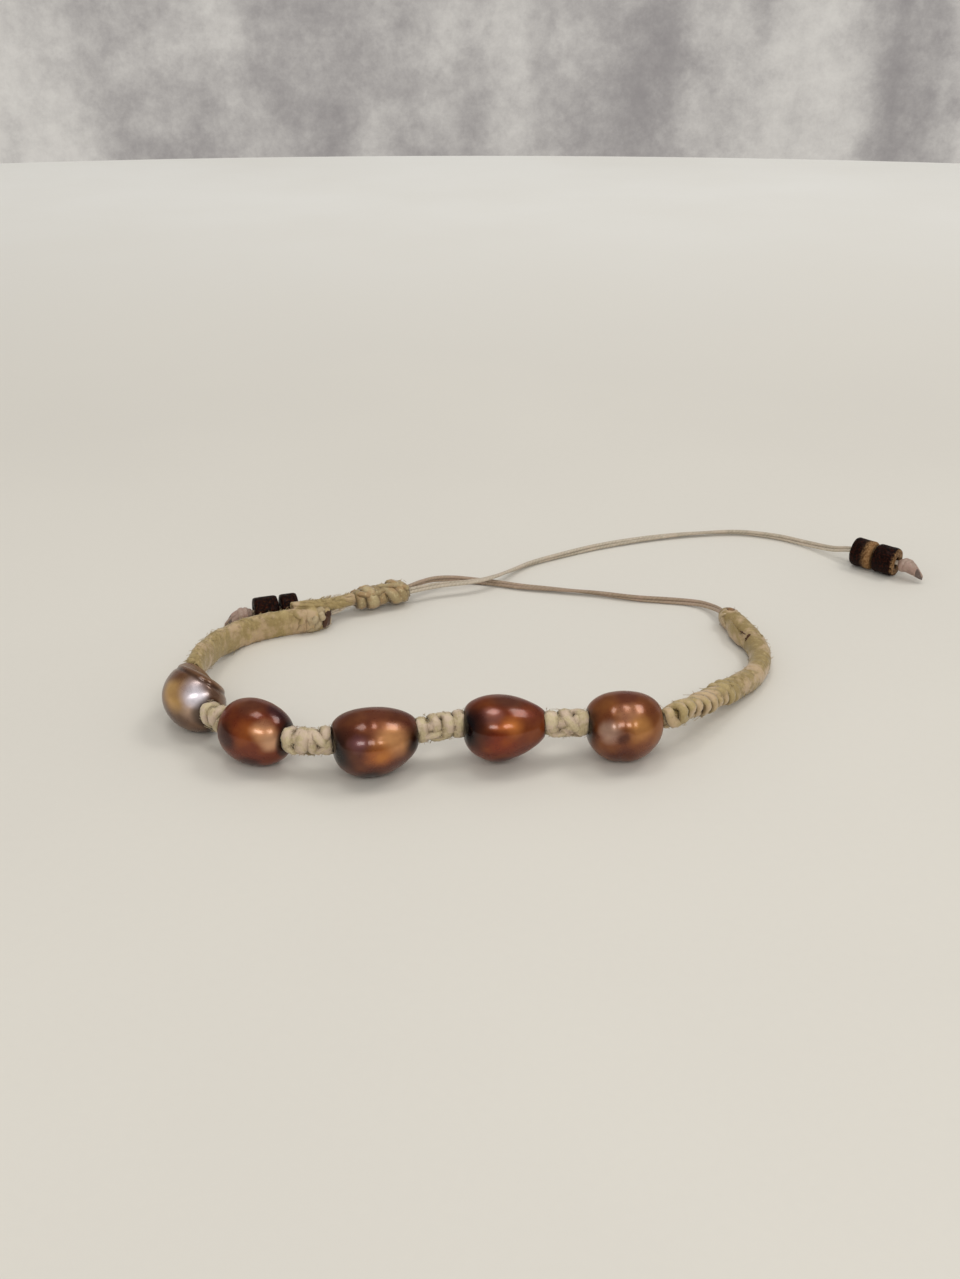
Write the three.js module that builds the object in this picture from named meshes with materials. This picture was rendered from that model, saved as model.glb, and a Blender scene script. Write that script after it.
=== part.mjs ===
// A knotted bracelet: five drilled pearls on a waxed thread, with square-knot bands and a sliding knot.
// Millimetres, +Z up. It lies on the plane z = 0 as it would by itself, with +Y away from the pearls.
import * as THREE from 'three';
import { mergeVertices } from 'three/addons/utils/BufferGeometryUtils.js';

// The thread: two thin strands that lie side by side through everything.
const strandWidth = 0.5;
const threadWidth = 2 * strandWidth;
const boreClearance = 0.2;
const touchGap = 0.3;
const boreRadius = threadWidth / 2 + boreClearance;
const boreRim = 0.3;

// How deep the flat is on which a pearl, or a band's edge, lies on the table.
const pearlFlat = 0.32;
const bandFlat = 0.22;

// Knots: the length that one square knot takes on the thread, and how deep the grooves between them are.
const knotPitch = 1.9;
const grooveDepth = 0.35;

// The short knot segments between two pearls.
const linkWidth = 3.5;
const linkThickness = 2.6;

// The flat band on the left, which stands on its edge.
const leftBandLength = 28.7;
const leftBandWidth = 3.9;
const leftBandThickness = 1.9;

// The rounder, spiralling band on the right.
const rightBandLength = 40.2;
const rightBandWidth = 3.1;
const rightBandThickness = 2.8;
const rightBandSlant = 0.55;

// The sliding knot that closes the loop and holds both ends of the thread.
const slidingKnotLength = 8.5;
const slidingKnotWidth = 3.7;
const slidingKnotHeight = 3.0;
const slidingKnotCentre = new THREE.Vector3(-14.5, 22.3, 2.0);
const slidingKnotHeading = 25;
const slidingKnotSlant = 0.6;
const slidingClearance = 0.25;

// The dark tube beads and the knots that stop them on the two tails.
const beadDiameter = 4.4;
const longTailBeadLengths = [3.4, 3.4];
const shortTailBeadLengths = [2.5, 3.5];
const beadChamfer = 0.45;
const endKnotLength = 3.2;
const endKnotWidth = 2.6;
const tailStub = 0.3;

// Facets round each kind of piece.
const pearlSides = 16;
const knotSides = 12;
const beadSides = 14;
const threadSides = 8;

// The pearls in their order on the thread. The four reaches run from the thread to the pearl's skin.
// widestAt is a share of the bore, heading is the way of the bore seen from above, in degrees,
// and lift is how far the knots on both sides hold the pearl off the table. A flatBack is the flat face
// of a half pearl: its distance from the thread, and how many degrees it faces up from the wrist's side.
const pearls = [
  {
    name: 'pearl_1', bore: 10.4, widestAt: 0.58, heading: -69, lift: 0,
    outward: 5.0, inward: 2.7, above: 4.1, below: 4.4, flatBack: { distance: 2.3, tilt: 36 },
  },
  {
    name: 'pearl_2', bore: 8.7, widestAt: 0.46, heading: -28, lift: 0,
    outward: 4.1, inward: 3.5, above: 3.7, below: 4.4,
  },
  {
    name: 'pearl_3', bore: 10.1, widestAt: 0.43, heading: 12, lift: 0,
    outward: 4.9, inward: 3.4, above: 3.4, below: 5.0,
  },
  {
    name: 'pearl_4', bore: 9.7, widestAt: 0.42, heading: 1, lift: 0.9,
    outward: 4.4, inward: 3.5, above: 3.4, below: 4.5,
  },
  {
    name: 'pearl_5', bore: 9.1, widestAt: 0.48, heading: 6, lift: 0,
    outward: 4.8, inward: 3.7, above: 3.7, below: 5.0,
  },
];

// The knot segments between the pearls, by their length on the thread and the heading at their middle.
const links = [
  { name: 'knot_1', length: 2.7, heading: -32 },
  { name: 'knot_2', length: 5.1, heading: -15 },
  { name: 'knot_3', length: 5.1, heading: 12 },
  { name: 'knot_4', length: 4.5, heading: 9 },
];

// The bands' ways seen from above: headings in degrees at shares of the band's length,
// and how far the thread has climbed from the table towards the next pearl's bore there.
const leftBandCourse = [
  { along: 0.0, heading: -148, climb: 0 },
  { along: 0.23, heading: -159, climb: 0 },
  { along: 0.37, heading: -148, climb: 0.02 },
  { along: 0.5, heading: -120, climb: 0.15 },
  { along: 0.7, heading: -104, climb: 0.55 },
  { along: 0.88, heading: -96, climb: 0.9 },
  { along: 1.0, heading: -86, climb: 1 },
];
const rightBandCourse = [
  { along: 0.0, heading: 24, climb: 1 },
  { along: 0.06, heading: 47, climb: 0.97 },
  { along: 0.25, heading: 52, climb: 0.6 },
  { along: 0.4, heading: 50, climb: 0.25 },
  { along: 0.52, heading: 57, climb: 0.04 },
  { along: 0.62, heading: 72, climb: 0 },
  { along: 0.74, heading: 95, climb: 0 },
  { along: 0.86, heading: 107, climb: 0 },
  { along: 1.0, heading: 112, climb: 0 },
];

// How the bands' sections swell along them, as shares of the band's width and thickness.
const leftBandSections = [
  { along: 0.0, outward: 0.5, inward: 0.8, above: 0.46, below: 0.5 },
  { along: 0.1, outward: 0.55, inward: 0.95, above: 0.5, below: 0.5 },
  { along: 0.2, outward: 0.5, inward: 0.55, above: 0.5, below: 0.5 },
  { along: 0.85, outward: 0.5, inward: 0.5, above: 0.5, below: 0.5 },
  { along: 1.0, outward: 0.6, inward: 0.6, above: 0.4, below: 0.4 },
];
const rightBandSections = [
  { along: 0.0, outward: 0.42, inward: 0.42, above: 0.42, below: 0.42 },
  { along: 0.06, outward: 0.5, inward: 0.5, above: 0.5, below: 0.5 },
  { along: 0.6, outward: 0.5, inward: 0.5, above: 0.5, below: 0.5 },
  { along: 0.8, outward: 0.48, inward: 0.58, above: 0.5, below: 0.5 },
  { along: 1.0, outward: 0.48, inward: 0.5, above: 0.48, below: 0.5 },
];

// Where the loop of bands and pearls starts: the left band's far end, seen from above.
const loopStart = new THREE.Vector3(-21.6, 16.7, 0);

// Chosen points of the free cords, from just past the band that each one leaves to its tip.
const cordRoutes = {
  long_tail: [
    [-20.6, 17.5, 1.8], [-19.7, 18.4, 1.9], [-19.1, 19.3, 1.98],
    [-18.1, 19.98, 2.0], [-14.25, 21.76, 2.0], [-10.4, 23.54, 2.0],
    [-8.2, 24.6, 2.0], [-5.4, 25.8, 1.95], [-2.2, 26.6, 1.9], [0.4, 27.7, 1.8],
    [2.4, 29.3, 1.65], [3.8, 31.3, 1.25], [5.4, 33.7, 0.75], [7.9, 36.3, 0.54],
    [13.1, 39.5, 0.54], [18.4, 42.4, 0.54], [23.8, 44.7, 0.54], [29.2, 46.5, 0.54],
    [35.3, 47.9, 0.54], [42.3, 48.3, 0.54], [48.3, 46.3, 0.56], [52.6, 43.1, 0.75],
    [55.6, 40.1, 1.3], [57.9, 37.8, 2.2], [60.95, 35.25, 2.2], [64.0, 32.7, 2.2],
  ],
  short_tail: [
    [34.7, 18.6, 1.25], [33.8, 20.4, 0.95], [32.3, 22.0, 0.7], [30.2, 22.9, 0.54],
    [27.4, 23.4, 0.54], [23.2, 24.1, 0.54], [17.2, 25.9, 0.54], [10.9, 27.2, 0.54], [6.2, 28.1, 0.54],
    [2.6, 29.2, 0.54], [-0.8, 30.1, 0.54], [-3.8, 29.8, 1.0], [-6.6, 28.4, 1.6], [-8.8, 26.5, 1.95],
    [-11.0, 24.6, 2.0], [-14.8, 22.84, 2.0], [-18.6, 21.06, 2.0],
    [-20.6, 20.1, 2.0], [-22.5, 19.15, 2.1], [-24.2, 18.4, 2.2],
    [-25.7, 17.86, 2.2], [-29.0, 16.85, 2.2], [-32.3, 15.84, 2.2],
  ],
};
const cordSteps = { long_tail: 42, short_tail: 32 };

const degrees = Math.PI / 180;

// The way of the thread: stretches of even curve, each with its length, headings and heights.
class ThreadCourse {
  constructor(start, stretches) {
    this.legs = [];
    const point = start.clone().setZ(0);
    let from = 0;
    for (const stretch of stretches) {
      const leg = { ...stretch, from, start: point.clone() };
      this.legs.push(leg);
      const end = this.pointOn(leg, leg.length);
      point.set(end.x, end.y, 0);
      from += stretch.length;
    }
    this.length = from;
  }

  pointOn(leg, distance) {
    const turn = ((leg.toHeading - leg.fromHeading) * degrees) / leg.length;
    const first = leg.fromHeading * degrees;
    const heading = first + turn * distance;
    const point = new THREE.Vector3(leg.start.x, leg.start.y, 0);
    if (Math.abs(turn) < 1e-9) {
      point.x += Math.cos(first) * distance;
      point.y += Math.sin(first) * distance;
    } else {
      point.x += (Math.sin(heading) - Math.sin(first)) / turn;
      point.y -= (Math.cos(heading) - Math.cos(first)) / turn;
    }
    const share = THREE.MathUtils.smoothstep(distance, 0, leg.length);
    point.z = THREE.MathUtils.lerp(leg.fromHeight, leg.toHeight, share);
    return point;
  }

  at(distance) {
    const leg = this.legs.findLast((each) => each.from <= distance) ?? this.legs[0];
    const along = distance - leg.from;
    const turned = (leg.toHeading - leg.fromHeading) * (along / leg.length);
    return { point: this.pointOn(leg, along), heading: (leg.fromHeading + turned) * degrees };
  }

  // Places between two distances that follow every bend closely, the two ends included.
  stations(from, to) {
    const longestStep = 2.6;
    const sharpestTurn = 11;
    const list = [from];
    for (const leg of this.legs) {
      const turn = Math.abs(leg.toHeading - leg.fromHeading);
      const count = Math.ceil(Math.max(leg.length / longestStep, turn / sharpestTurn));
      for (let i = 0; i < count; i += 1) {
        const place = leg.from + (leg.length * i) / count;
        if (place > from + touchGap && place < to - touchGap) list.push(place);
      }
    }
    list.push(to);
    return list;
  }
}

// A row of a table read at any share, with even change between its rows.
function tableAt(table, share) {
  const next = table.find((row) => row.along >= share) ?? table.at(-1);
  const last = table[Math.max(0, table.indexOf(next) - 1)];
  const span = next.along - last.along;
  const part = span > 0 ? (share - last.along) / span : 0;
  const row = {};
  for (const key of Object.keys(next)) row[key] = THREE.MathUtils.lerp(last[key], next[key], part);
  return row;
}

// How far a section reaches from the thread at an angle: 0 is towards the wrist, a quarter turn is up.
function sectionReach(section, angle, squareness) {
  const sideways = Math.cos(angle);
  const upright = Math.sin(angle);
  const side = sideways > 0 ? section.inward : section.outward;
  const height = upright > 0 ? section.above : section.below;
  const sum = Math.abs(sideways / side) ** squareness + Math.abs(upright / height) ** squareness;
  const round = sum ** (-1 / squareness);
  if (!section.flatBack) return round;
  const towardsFlat = Math.cos(angle - section.flatBack.tilt * degrees);
  return towardsFlat > 0 ? Math.min(round, section.flatBack.distance / towardsFlat) : round;
}

// A closed lathe body with its shared vertices merged and the flat triangles at its poles left out.
function turnedBody(profile, sides) {
  const lathe = new THREE.LatheGeometry(profile, sides, Math.PI / sides);
  lathe.deleteAttribute('normal');
  lathe.deleteAttribute('uv');
  const merged = mergeVertices(lathe, 1e-5);
  const corners = merged.index.array;
  const kept = [];
  for (let i = 0; i < corners.length; i += 3) {
    const [a, b, c] = [corners[i], corners[i + 1], corners[i + 2]];
    if (a !== b && b !== c && c !== a) kept.push(a, b, c);
  }
  merged.setIndex(kept);
  return merged;
}

// Bends a turned body onto the thread. The body's bore stays round, or oval by boreStretch, and its skin,
// turned at radius 1 beyond the bore, reaches out to the section's own width in each direction.
function layOnThread(body, course, options) {
  const { sectionAt, bore, squareness = 2, slantAt = () => 0, boreStretch = 1 } = options;
  const position = body.attributes.position;
  for (let i = 0; i < position.count; i += 1) {
    const across = -position.getX(i);
    const lifted = position.getZ(i);
    const radius = Math.hypot(across, lifted);
    const angle = Math.atan2(lifted, across);
    const along = position.getY(i) + slantAt(position.getY(i)) * Math.sin(angle);
    const outer = sectionReach(sectionAt(position.getY(i)), angle, squareness);
    const part = Math.max(0, radius - bore);
    const inner = Math.min(radius, bore);
    const reachAcross = THREE.MathUtils.lerp(inner * boreStretch, outer, part) * Math.cos(angle);
    const reachUp = THREE.MathUtils.lerp(inner, outer, part) * Math.sin(angle);
    const { point, heading } = course.at(along);
    const x = point.x - Math.sin(heading) * reachAcross;
    const y = point.y + Math.cos(heading) * reachAcross;
    position.setXYZ(i, x, y, Math.max(0, point.z + reachUp));
  }
  return body;
}

// The profile of a sleeve: its skin outside, given as shares beyond the bore, and back along the bore.
function sleeveProfile(skin, boreStations, bore) {
  const points = skin.map(({ at, share }) => new THREE.Vector2(bore + share, at));
  const inside = boreStations.toReversed().map((at) => new THREE.Vector2(bore, at));
  return [...points, ...inside, points[0].clone()];
}

// Skin of a pearl: an egg between two small flats round its drill hole.
function pearlSkin(from, pearl) {
  const rows = 12;
  const lean = Math.log(0.5) / Math.log(pearl.widestAt);
  const meanReach = (pearl.outward + pearl.inward + pearl.above + pearl.below) / 4;
  const rim = boreRim / (meanReach - boreRadius);
  const skin = [];
  for (let i = 0; i <= rows; i += 1) {
    const share = (1 - Math.cos((Math.PI * i) / rows)) / 2;
    const swell = Math.sqrt(Math.max(0, 1 - (2 * share ** lean - 1) ** 2));
    skin.push({ at: from + share * pearl.bore, share: rim + (1 - rim) * swell });
  }
  return skin;
}

// Skin of a run of knots: a groove between every two, and the ends drawn in.
function knottedSkin(from, length, depthShare) {
  const count = Math.max(1, Math.round(length / knotPitch));
  const pitch = length / count;
  const shoulder = pitch * 0.28;
  const skin = [{ at: from, share: 1 - 1.6 * depthShare }];
  for (let i = 0; i < count; i += 1) {
    const middle = from + (i + 0.5) * pitch;
    skin.push({ at: middle - shoulder, share: 1 }, { at: middle + shoulder, share: 1 });
    if (i < count - 1) skin.push({ at: from + (i + 1) * pitch, share: 1 - depthShare });
  }
  skin.push({ at: from + length, share: 1 - 1.6 * depthShare });
  return skin;
}

// A slant for the grooves of a run, which fades out at its two ends.
function fadingSlant(from, length, slant) {
  return (at) => slant * THREE.MathUtils.clamp(Math.min(at - from, from + length - at) / knotPitch, 0, 1);
}

// A section table turned into reaches in millimetres for a band of a width and thickness.
function bandSection(table, from, length, width, thickness) {
  return (at) => {
    const row = tableAt(table, THREE.MathUtils.clamp((at - from) / length, 0, 1));
    return {
      outward: row.outward * thickness,
      inward: row.inward * thickness,
      above: row.above * width,
      below: row.below * width,
    };
  };
}

// The finish of each kind of piece.
function finish(color, roughness, metalness = 0) {
  return () => new THREE.MeshStandardMaterial({ color, roughness, metalness });
}
const finishes = {
  pearl_1: finish(0x8f6f5c, 0.28),
  pearl_2: finish(0x7a3f26, 0.25),
  pearl_3: finish(0x6e3d2a, 0.24),
  pearl_4: finish(0x5e2c22, 0.25),
  pearl_5: finish(0x96603f, 0.26),
  knotting: finish(0xb9a684, 0.85),
  band: finish(0xa5936a, 0.85),
  thread: finish(0xa8977c, 0.7),
  bead: finish(0x2e150b, 0.55),
  endKnot: finish(0xb39f88, 0.75),
};

const bracelet = new THREE.Group();

function addPiece(name, geometry, makeFinish) {
  geometry.computeVertexNormals();
  const mesh = new THREE.Mesh(geometry, makeFinish());
  mesh.name = name;
  bracelet.add(mesh);
}

// Strings the bands, pearls and knots in their order, and keeps where each one starts on the thread.
const leftBandHeight = leftBandWidth / 2 - bandFlat;
const rightBandHeight = rightBandWidth / 2 - bandFlat;
const boreHeight = (pearl) => pearl.lift + pearl.below - pearlFlat;
const startsAt = {};
const stretches = [];
let strung = 0;

function addStretch(length, fromHeading, toHeading, fromHeight, toHeight) {
  stretches.push({ length, fromHeading, toHeading, fromHeight, toHeight });
  strung += length;
}

function addGap(pearl, fromHeading, toHeading) {
  addStretch(touchGap, fromHeading, toHeading, boreHeight(pearl), boreHeight(pearl));
}

function addBandStretches(table, length, tableHeight, pearlHeight) {
  for (let i = 1; i < table.length; i += 1) {
    const [last, next] = [table[i - 1], table[i]];
    const fromHeight = THREE.MathUtils.lerp(tableHeight, pearlHeight, last.climb);
    const toHeight = THREE.MathUtils.lerp(tableHeight, pearlHeight, next.climb);
    addStretch((next.along - last.along) * length, last.heading, next.heading, fromHeight, toHeight);
  }
}

startsAt.left_band = strung;
addBandStretches(leftBandCourse, leftBandLength, leftBandHeight, boreHeight(pearls[0]));
addGap(pearls[0], leftBandCourse.at(-1).heading, pearls[0].heading);
pearls.forEach((pearl, i) => {
  startsAt[pearl.name] = strung;
  addStretch(pearl.bore, pearl.heading, pearl.heading, boreHeight(pearl), boreHeight(pearl));
  const link = links[i];
  const next = pearls[i + 1];
  if (!next) return;
  startsAt[link.name] = strung + touchGap;
  const halfLink = link.length / 2 + touchGap;
  const middleHeight = (boreHeight(pearl) + boreHeight(next)) / 2;
  addStretch(halfLink, pearl.heading, link.heading, boreHeight(pearl), middleHeight);
  addStretch(halfLink, link.heading, next.heading, middleHeight, boreHeight(next));
});
const lastPearl = pearls.at(-1);
addGap(lastPearl, lastPearl.heading, rightBandCourse[0].heading);
startsAt.right_band = strung;
addBandStretches(rightBandCourse, rightBandLength, rightBandHeight, boreHeight(lastPearl));
const loopEnd = strung;
const loop = new ThreadCourse(loopStart, stretches);

// The core thread, whole from one band's end to the other's, where the free cords go on.
const coreStations = loop.stations(touchGap, loopEnd - touchGap);
const coreProfile = [
  new THREE.Vector2(0, coreStations[0]),
  ...coreStations.map((at) => new THREE.Vector2(threadWidth / 2, at)),
  new THREE.Vector2(0, coreStations.at(-1)),
];
const roundSection = () => ({ outward: 1, inward: 1, above: 1, below: 1 });
const core = turnedBody(coreProfile, threadSides);
layOnThread(core, loop, { sectionAt: roundSection, bore: boreRadius });
addPiece('core_thread', core, finishes.thread);

// The pearls, each drilled where the thread runs through it.
for (const pearl of pearls) {
  const from = startsAt[pearl.name];
  const profile = sleeveProfile(pearlSkin(from, pearl), loop.stations(from, from + pearl.bore), boreRadius);
  const body = turnedBody(profile, pearlSides);
  layOnThread(body, loop, { sectionAt: () => pearl, squareness: 2, bore: boreRadius });
  addPiece(pearl.name, body, finishes[pearl.name]);
}

// A run of square knots round the thread.
function knottedRun(name, length, width, thickness, table, squareness, slant, makeFinish) {
  const from = startsAt[name];
  const depthShare = grooveDepth / (thickness / 2);
  const profile = sleeveProfile(
    knottedSkin(from, length, depthShare), loop.stations(from, from + length), boreRadius);
  const body = turnedBody(profile, knotSides);
  layOnThread(body, loop, {
    sectionAt: bandSection(table, from, length, width, thickness),
    slantAt: fadingSlant(from, length, slant),
    squareness,
    bore: boreRadius,
  });
  addPiece(name, body, makeFinish);
}

const evenSection = [
  { along: 0, outward: 0.5, inward: 0.5, above: 0.5, below: 0.5 },
  { along: 1, outward: 0.5, inward: 0.5, above: 0.5, below: 0.5 },
];
for (const link of links) {
  knottedRun(link.name, link.length, linkWidth, linkThickness, evenSection, 2.6, 0, finishes.knotting);
}
knottedRun(
  'left_band', leftBandLength, leftBandWidth, leftBandThickness, leftBandSections, 3, 0, finishes.band);
knottedRun(
  'right_band', rightBandLength, rightBandWidth, rightBandThickness, rightBandSections, 2.4,
  rightBandSlant, finishes.band);

// A straight way through a point, for the pieces that sit on a straight bit of cord.
function straightCourse(middle, heading, length) {
  const half = length / 2;
  const turned = heading * degrees;
  const start = new THREE.Vector3(Math.cos(turned), Math.sin(turned), 0).multiplyScalar(-half).add(middle);
  return new ThreadCourse(start, [
    { length, fromHeading: heading, toHeading: heading, fromHeight: middle.z, toHeight: middle.z },
  ]);
}

// The sliding knot, open for the two cords that run through it side by side in an oval bore.
const slidingWay = straightCourse(slidingKnotCentre, slidingKnotHeading, slidingKnotLength);
const slidingBore = threadWidth / 2 + slidingClearance;
const slidingBoreReach = threadWidth + boreClearance / 2 + 1.4 * slidingClearance;
const slidingSkin = knottedSkin(0, slidingKnotLength, grooveDepth / (slidingKnotHeight / 2));
const slidingKnot = turnedBody(
  sleeveProfile(slidingSkin, [0, slidingKnotLength / 2, slidingKnotLength], slidingBore), beadSides);
layOnThread(slidingKnot, slidingWay, {
  sectionAt: () => ({
    outward: slidingKnotWidth / 2,
    inward: slidingKnotWidth / 2,
    above: slidingKnotHeight / 2,
    below: slidingKnotHeight / 2,
  }),
  slantAt: fadingSlant(0, slidingKnotLength, slidingKnotSlant),
  squareness: 2.4,
  boreStretch: slidingBoreReach / slidingBore,
  bore: slidingBore,
});
addPiece('sliding_knot', slidingKnot, finishes.knotting);

// The two free cords, each from its band's end through the sliding knot to its beads.
const threadSection = new THREE.Shape();
for (let i = 0; i < threadSides; i += 1) {
  const angle = (2 * Math.PI * i) / threadSides;
  const corner = [Math.cos(angle) * threadWidth / 2, Math.sin(angle) * threadWidth / 2];
  if (i === 0) threadSection.moveTo(...corner);
  else threadSection.lineTo(...corner);
}

function freeCord(name, bandEnd) {
  const points = [bandEnd, ...cordRoutes[name].map((point) => new THREE.Vector3(...point))];
  const geometry = new THREE.ExtrudeGeometry(threadSection, {
    steps: cordSteps[name],
    bevelEnabled: false,
    extrudePath: new THREE.CatmullRomCurve3(points, false, 'centripetal'),
  });
  geometry.deleteAttribute('normal');
  geometry.deleteAttribute('uv');
  addPiece(`${name}_cord`, mergeVertices(geometry, 1e-4), finishes.thread);
}

// A drilled tube bead with broken edges, from a distance on its straight way.
function tubeBead(name, way, from, length) {
  const edge = beadChamfer / (beadDiameter / 2);
  const skin = [
    { at: from, share: 1 - edge },
    { at: from + beadChamfer, share: 1 },
    { at: from + length / 2, share: 1.02 },
    { at: from + length - beadChamfer, share: 1 },
    { at: from + length, share: 1 - edge },
  ];
  const bead = turnedBody(sleeveProfile(skin, [from, from + length], boreRadius), beadSides);
  const reach = beadDiameter / 2;
  const section = { outward: reach, inward: reach, above: reach, below: reach };
  layOnThread(bead, way, { sectionAt: () => section, bore: boreRadius });
  addPiece(name, bead, finishes.bead);
}

// A solid overhand knot with one waist.
const stopKnotOutline = [
  { along: 0, share: 0 },
  { along: 0.02, share: 0.5 },
  { along: 0.2, share: 0.95 },
  { along: 0.38, share: 1 },
  { along: 0.52, share: 0.84 },
  { along: 0.7, share: 0.9 },
  { along: 0.92, share: 0.55 },
  { along: 1, share: 0 },
];
function stopKnot(name, way, from) {
  const reach = endKnotWidth / 2;
  const profile = stopKnotOutline.map(
    ({ along, share }) => new THREE.Vector2(share * reach, from + along * endKnotLength));
  const section = { outward: reach, inward: reach, above: reach, below: reach };
  const knot = layOnThread(turnedBody(profile, knotSides), way, { sectionAt: () => section, bore: reach });
  addPiece(name, knot, finishes.endKnot);
}

// The beads and the stop knot sit on a cord's last straight stretch, which ends just past the beads.
function dressTail(name, bandEnd, beadLengths) {
  freeCord(name, bandEnd);
  const tip = new THREE.Vector3(...cordRoutes[name].at(-1));
  const before = new THREE.Vector3(...cordRoutes[name].at(-3));
  const heading = Math.atan2(tip.y - before.y, tip.x - before.x) / degrees;
  const way = straightCourse(tip, heading, 0.001);
  let from = -tailStub;
  beadLengths.toReversed().forEach((length, i) => {
    from -= length;
    tubeBead(`${name}_bead_${beadLengths.length - i}`, way, from, length);
    from -= touchGap;
  });
  stopKnot(`${name}_end_knot`, way, touchGap);
}
dressTail('long_tail', loop.at(0).point, longTailBeadLengths);
dressTail('short_tail', loop.at(loopEnd).point, shortTailBeadLengths);

// The origin is under the middle of everything but the free tails.
const onTheLoop = new THREE.Box3();
for (const mesh of bracelet.children) {
  if (!mesh.name.includes('tail')) onTheLoop.expandByObject(mesh);
}
const middle = onTheLoop.getCenter(new THREE.Vector3());
bracelet.position.set(-middle.x, -middle.y, 0);

export default bracelet;
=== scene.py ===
"""A bracelet of five drilled pearls on knotted thread, closed by a sliding knot, lying on a table."""
import math

import bpy
import numpy as np
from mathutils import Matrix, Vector, noise


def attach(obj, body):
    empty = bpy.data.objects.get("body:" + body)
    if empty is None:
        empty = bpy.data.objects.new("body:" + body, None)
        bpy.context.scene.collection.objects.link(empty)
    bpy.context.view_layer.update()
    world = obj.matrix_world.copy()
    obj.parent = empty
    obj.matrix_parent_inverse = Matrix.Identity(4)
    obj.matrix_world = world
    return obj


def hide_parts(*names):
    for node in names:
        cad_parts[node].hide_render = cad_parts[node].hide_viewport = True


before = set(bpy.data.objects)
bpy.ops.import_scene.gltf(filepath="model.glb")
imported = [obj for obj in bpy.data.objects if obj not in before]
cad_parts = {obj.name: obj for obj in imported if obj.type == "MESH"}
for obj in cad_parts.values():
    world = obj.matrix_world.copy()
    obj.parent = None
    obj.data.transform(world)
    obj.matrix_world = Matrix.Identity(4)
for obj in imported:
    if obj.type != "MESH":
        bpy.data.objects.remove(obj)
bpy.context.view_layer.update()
scene = bpy.context.scene


# The view: a close look at the table from the front, 28 degrees down, through a normal lens.
# The picture is 960 wide and 1279 high, and everything in it is sharp.
view_target = Vector((0.0001, 0.0121, 0.0))
view_distance = 0.1995
view_pitch = math.radians(28)
camera_data = bpy.data.cameras.new("camera")
camera_data.lens = 40
camera_data.sensor_width = 36
camera_data.clip_start = 0.005
camera_data.clip_end = 50
camera = bpy.data.objects.new("camera", camera_data)
scene.collection.objects.link(camera)
camera.location = view_target + view_distance * Vector((0, -math.cos(view_pitch), math.sin(view_pitch)))
camera.rotation_euler = (math.pi / 2 - view_pitch, 0, 0)
scene.camera = camera
scene.view_settings.view_transform = "Standard"


# The waxed thread: strands of spun polyester, half a millimetre thick, always used as a pair that winds
# slowly round itself. The two free ends leave the bands, pass each other in the sliding knot and carry the
# end beads.
mm = 0.001
strand_width = 0.5
cord_routes = {
    # in metres, from the end of a band to the stop knot
    "long_tail": [
        (-0.0216, 0.0167, 0.00173), (-0.0206, 0.0175, 0.0018), (-0.0197, 0.0184, 0.0019),
        (-0.0191, 0.0193, 0.00198), (-0.0181, 0.01998, 0.002), (-0.01425, 0.02176, 0.002),
        (-0.0104, 0.02354, 0.002), (-0.0082, 0.0246, 0.002), (-0.0054, 0.0258, 0.00195),
        (-0.0022, 0.0266, 0.0019), (0.0004, 0.0277, 0.0018), (0.0024, 0.0293, 0.00165),
        (0.0038, 0.0313, 0.00125), (0.0054, 0.0337, 0.00075), (0.0079, 0.0363, 0.00054),
        (0.0131, 0.0395, 0.00054), (0.0184, 0.0424, 0.00054), (0.0238, 0.0447, 0.00054),
        (0.0292, 0.0465, 0.00054), (0.0353, 0.0479, 0.00054), (0.0423, 0.0483, 0.00054),
        (0.0483, 0.0463, 0.00056), (0.0526, 0.0431, 0.00075), (0.0556, 0.0401, 0.0013),
        (0.0579, 0.0378, 0.0022), (0.06095, 0.03525, 0.0022), (0.064, 0.0327, 0.0022),
    ],
    "short_tail": [
        (0.0354, 0.01686, 0.00133), (0.0347, 0.0186, 0.00125), (0.0338, 0.0204, 0.00095),
        (0.0323, 0.022, 0.0007), (0.0302, 0.0229, 0.00054), (0.0274, 0.0234, 0.00054),
        (0.0232, 0.0241, 0.00054), (0.0172, 0.0259, 0.00054), (0.0109, 0.0272, 0.00054),
        (0.0062, 0.0281, 0.00054), (0.0026, 0.0292, 0.00054), (-0.0008, 0.0301, 0.00054),
        (-0.0038, 0.0298, 0.001), (-0.0066, 0.0284, 0.0016), (-0.0088, 0.0265, 0.00195),
        (-0.011, 0.0246, 0.002), (-0.0148, 0.02284, 0.002), (-0.0186, 0.02106, 0.002),
        (-0.0206, 0.0201, 0.002), (-0.0225, 0.01915, 0.0021), (-0.0242, 0.0184, 0.0022),
        (-0.0257, 0.01786, 0.0022), (-0.029, 0.01685, 0.0022), (-0.0323, 0.01584, 0.0022),
    ],
}


def lumps(points, size, seed):
    """A soft uneven height, from -1 to 1, at points in millimetres."""
    shift = Vector((seed * 7.3, seed * 3.1, seed * 5.7))
    return np.array([noise.noise(Vector(p) / size + shift) for p in points])


def unit(directions):
    """The same directions, each with a length of one."""
    return directions / np.linalg.norm(directions, axis=-1)[..., None]


def circle(sides):
    """Angles at even steps round a circle."""
    return np.linspace(0, 2 * math.pi, sides, endpoint=False)


def between(low, high, share):
    """A share of the way from one value to another."""
    return low + (high - low) * share


def run_along(path):
    """How far along its path each point lies."""
    return np.concatenate([[0], np.cumsum(np.linalg.norm(np.diff(path, axis=0), axis=1))])


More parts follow.
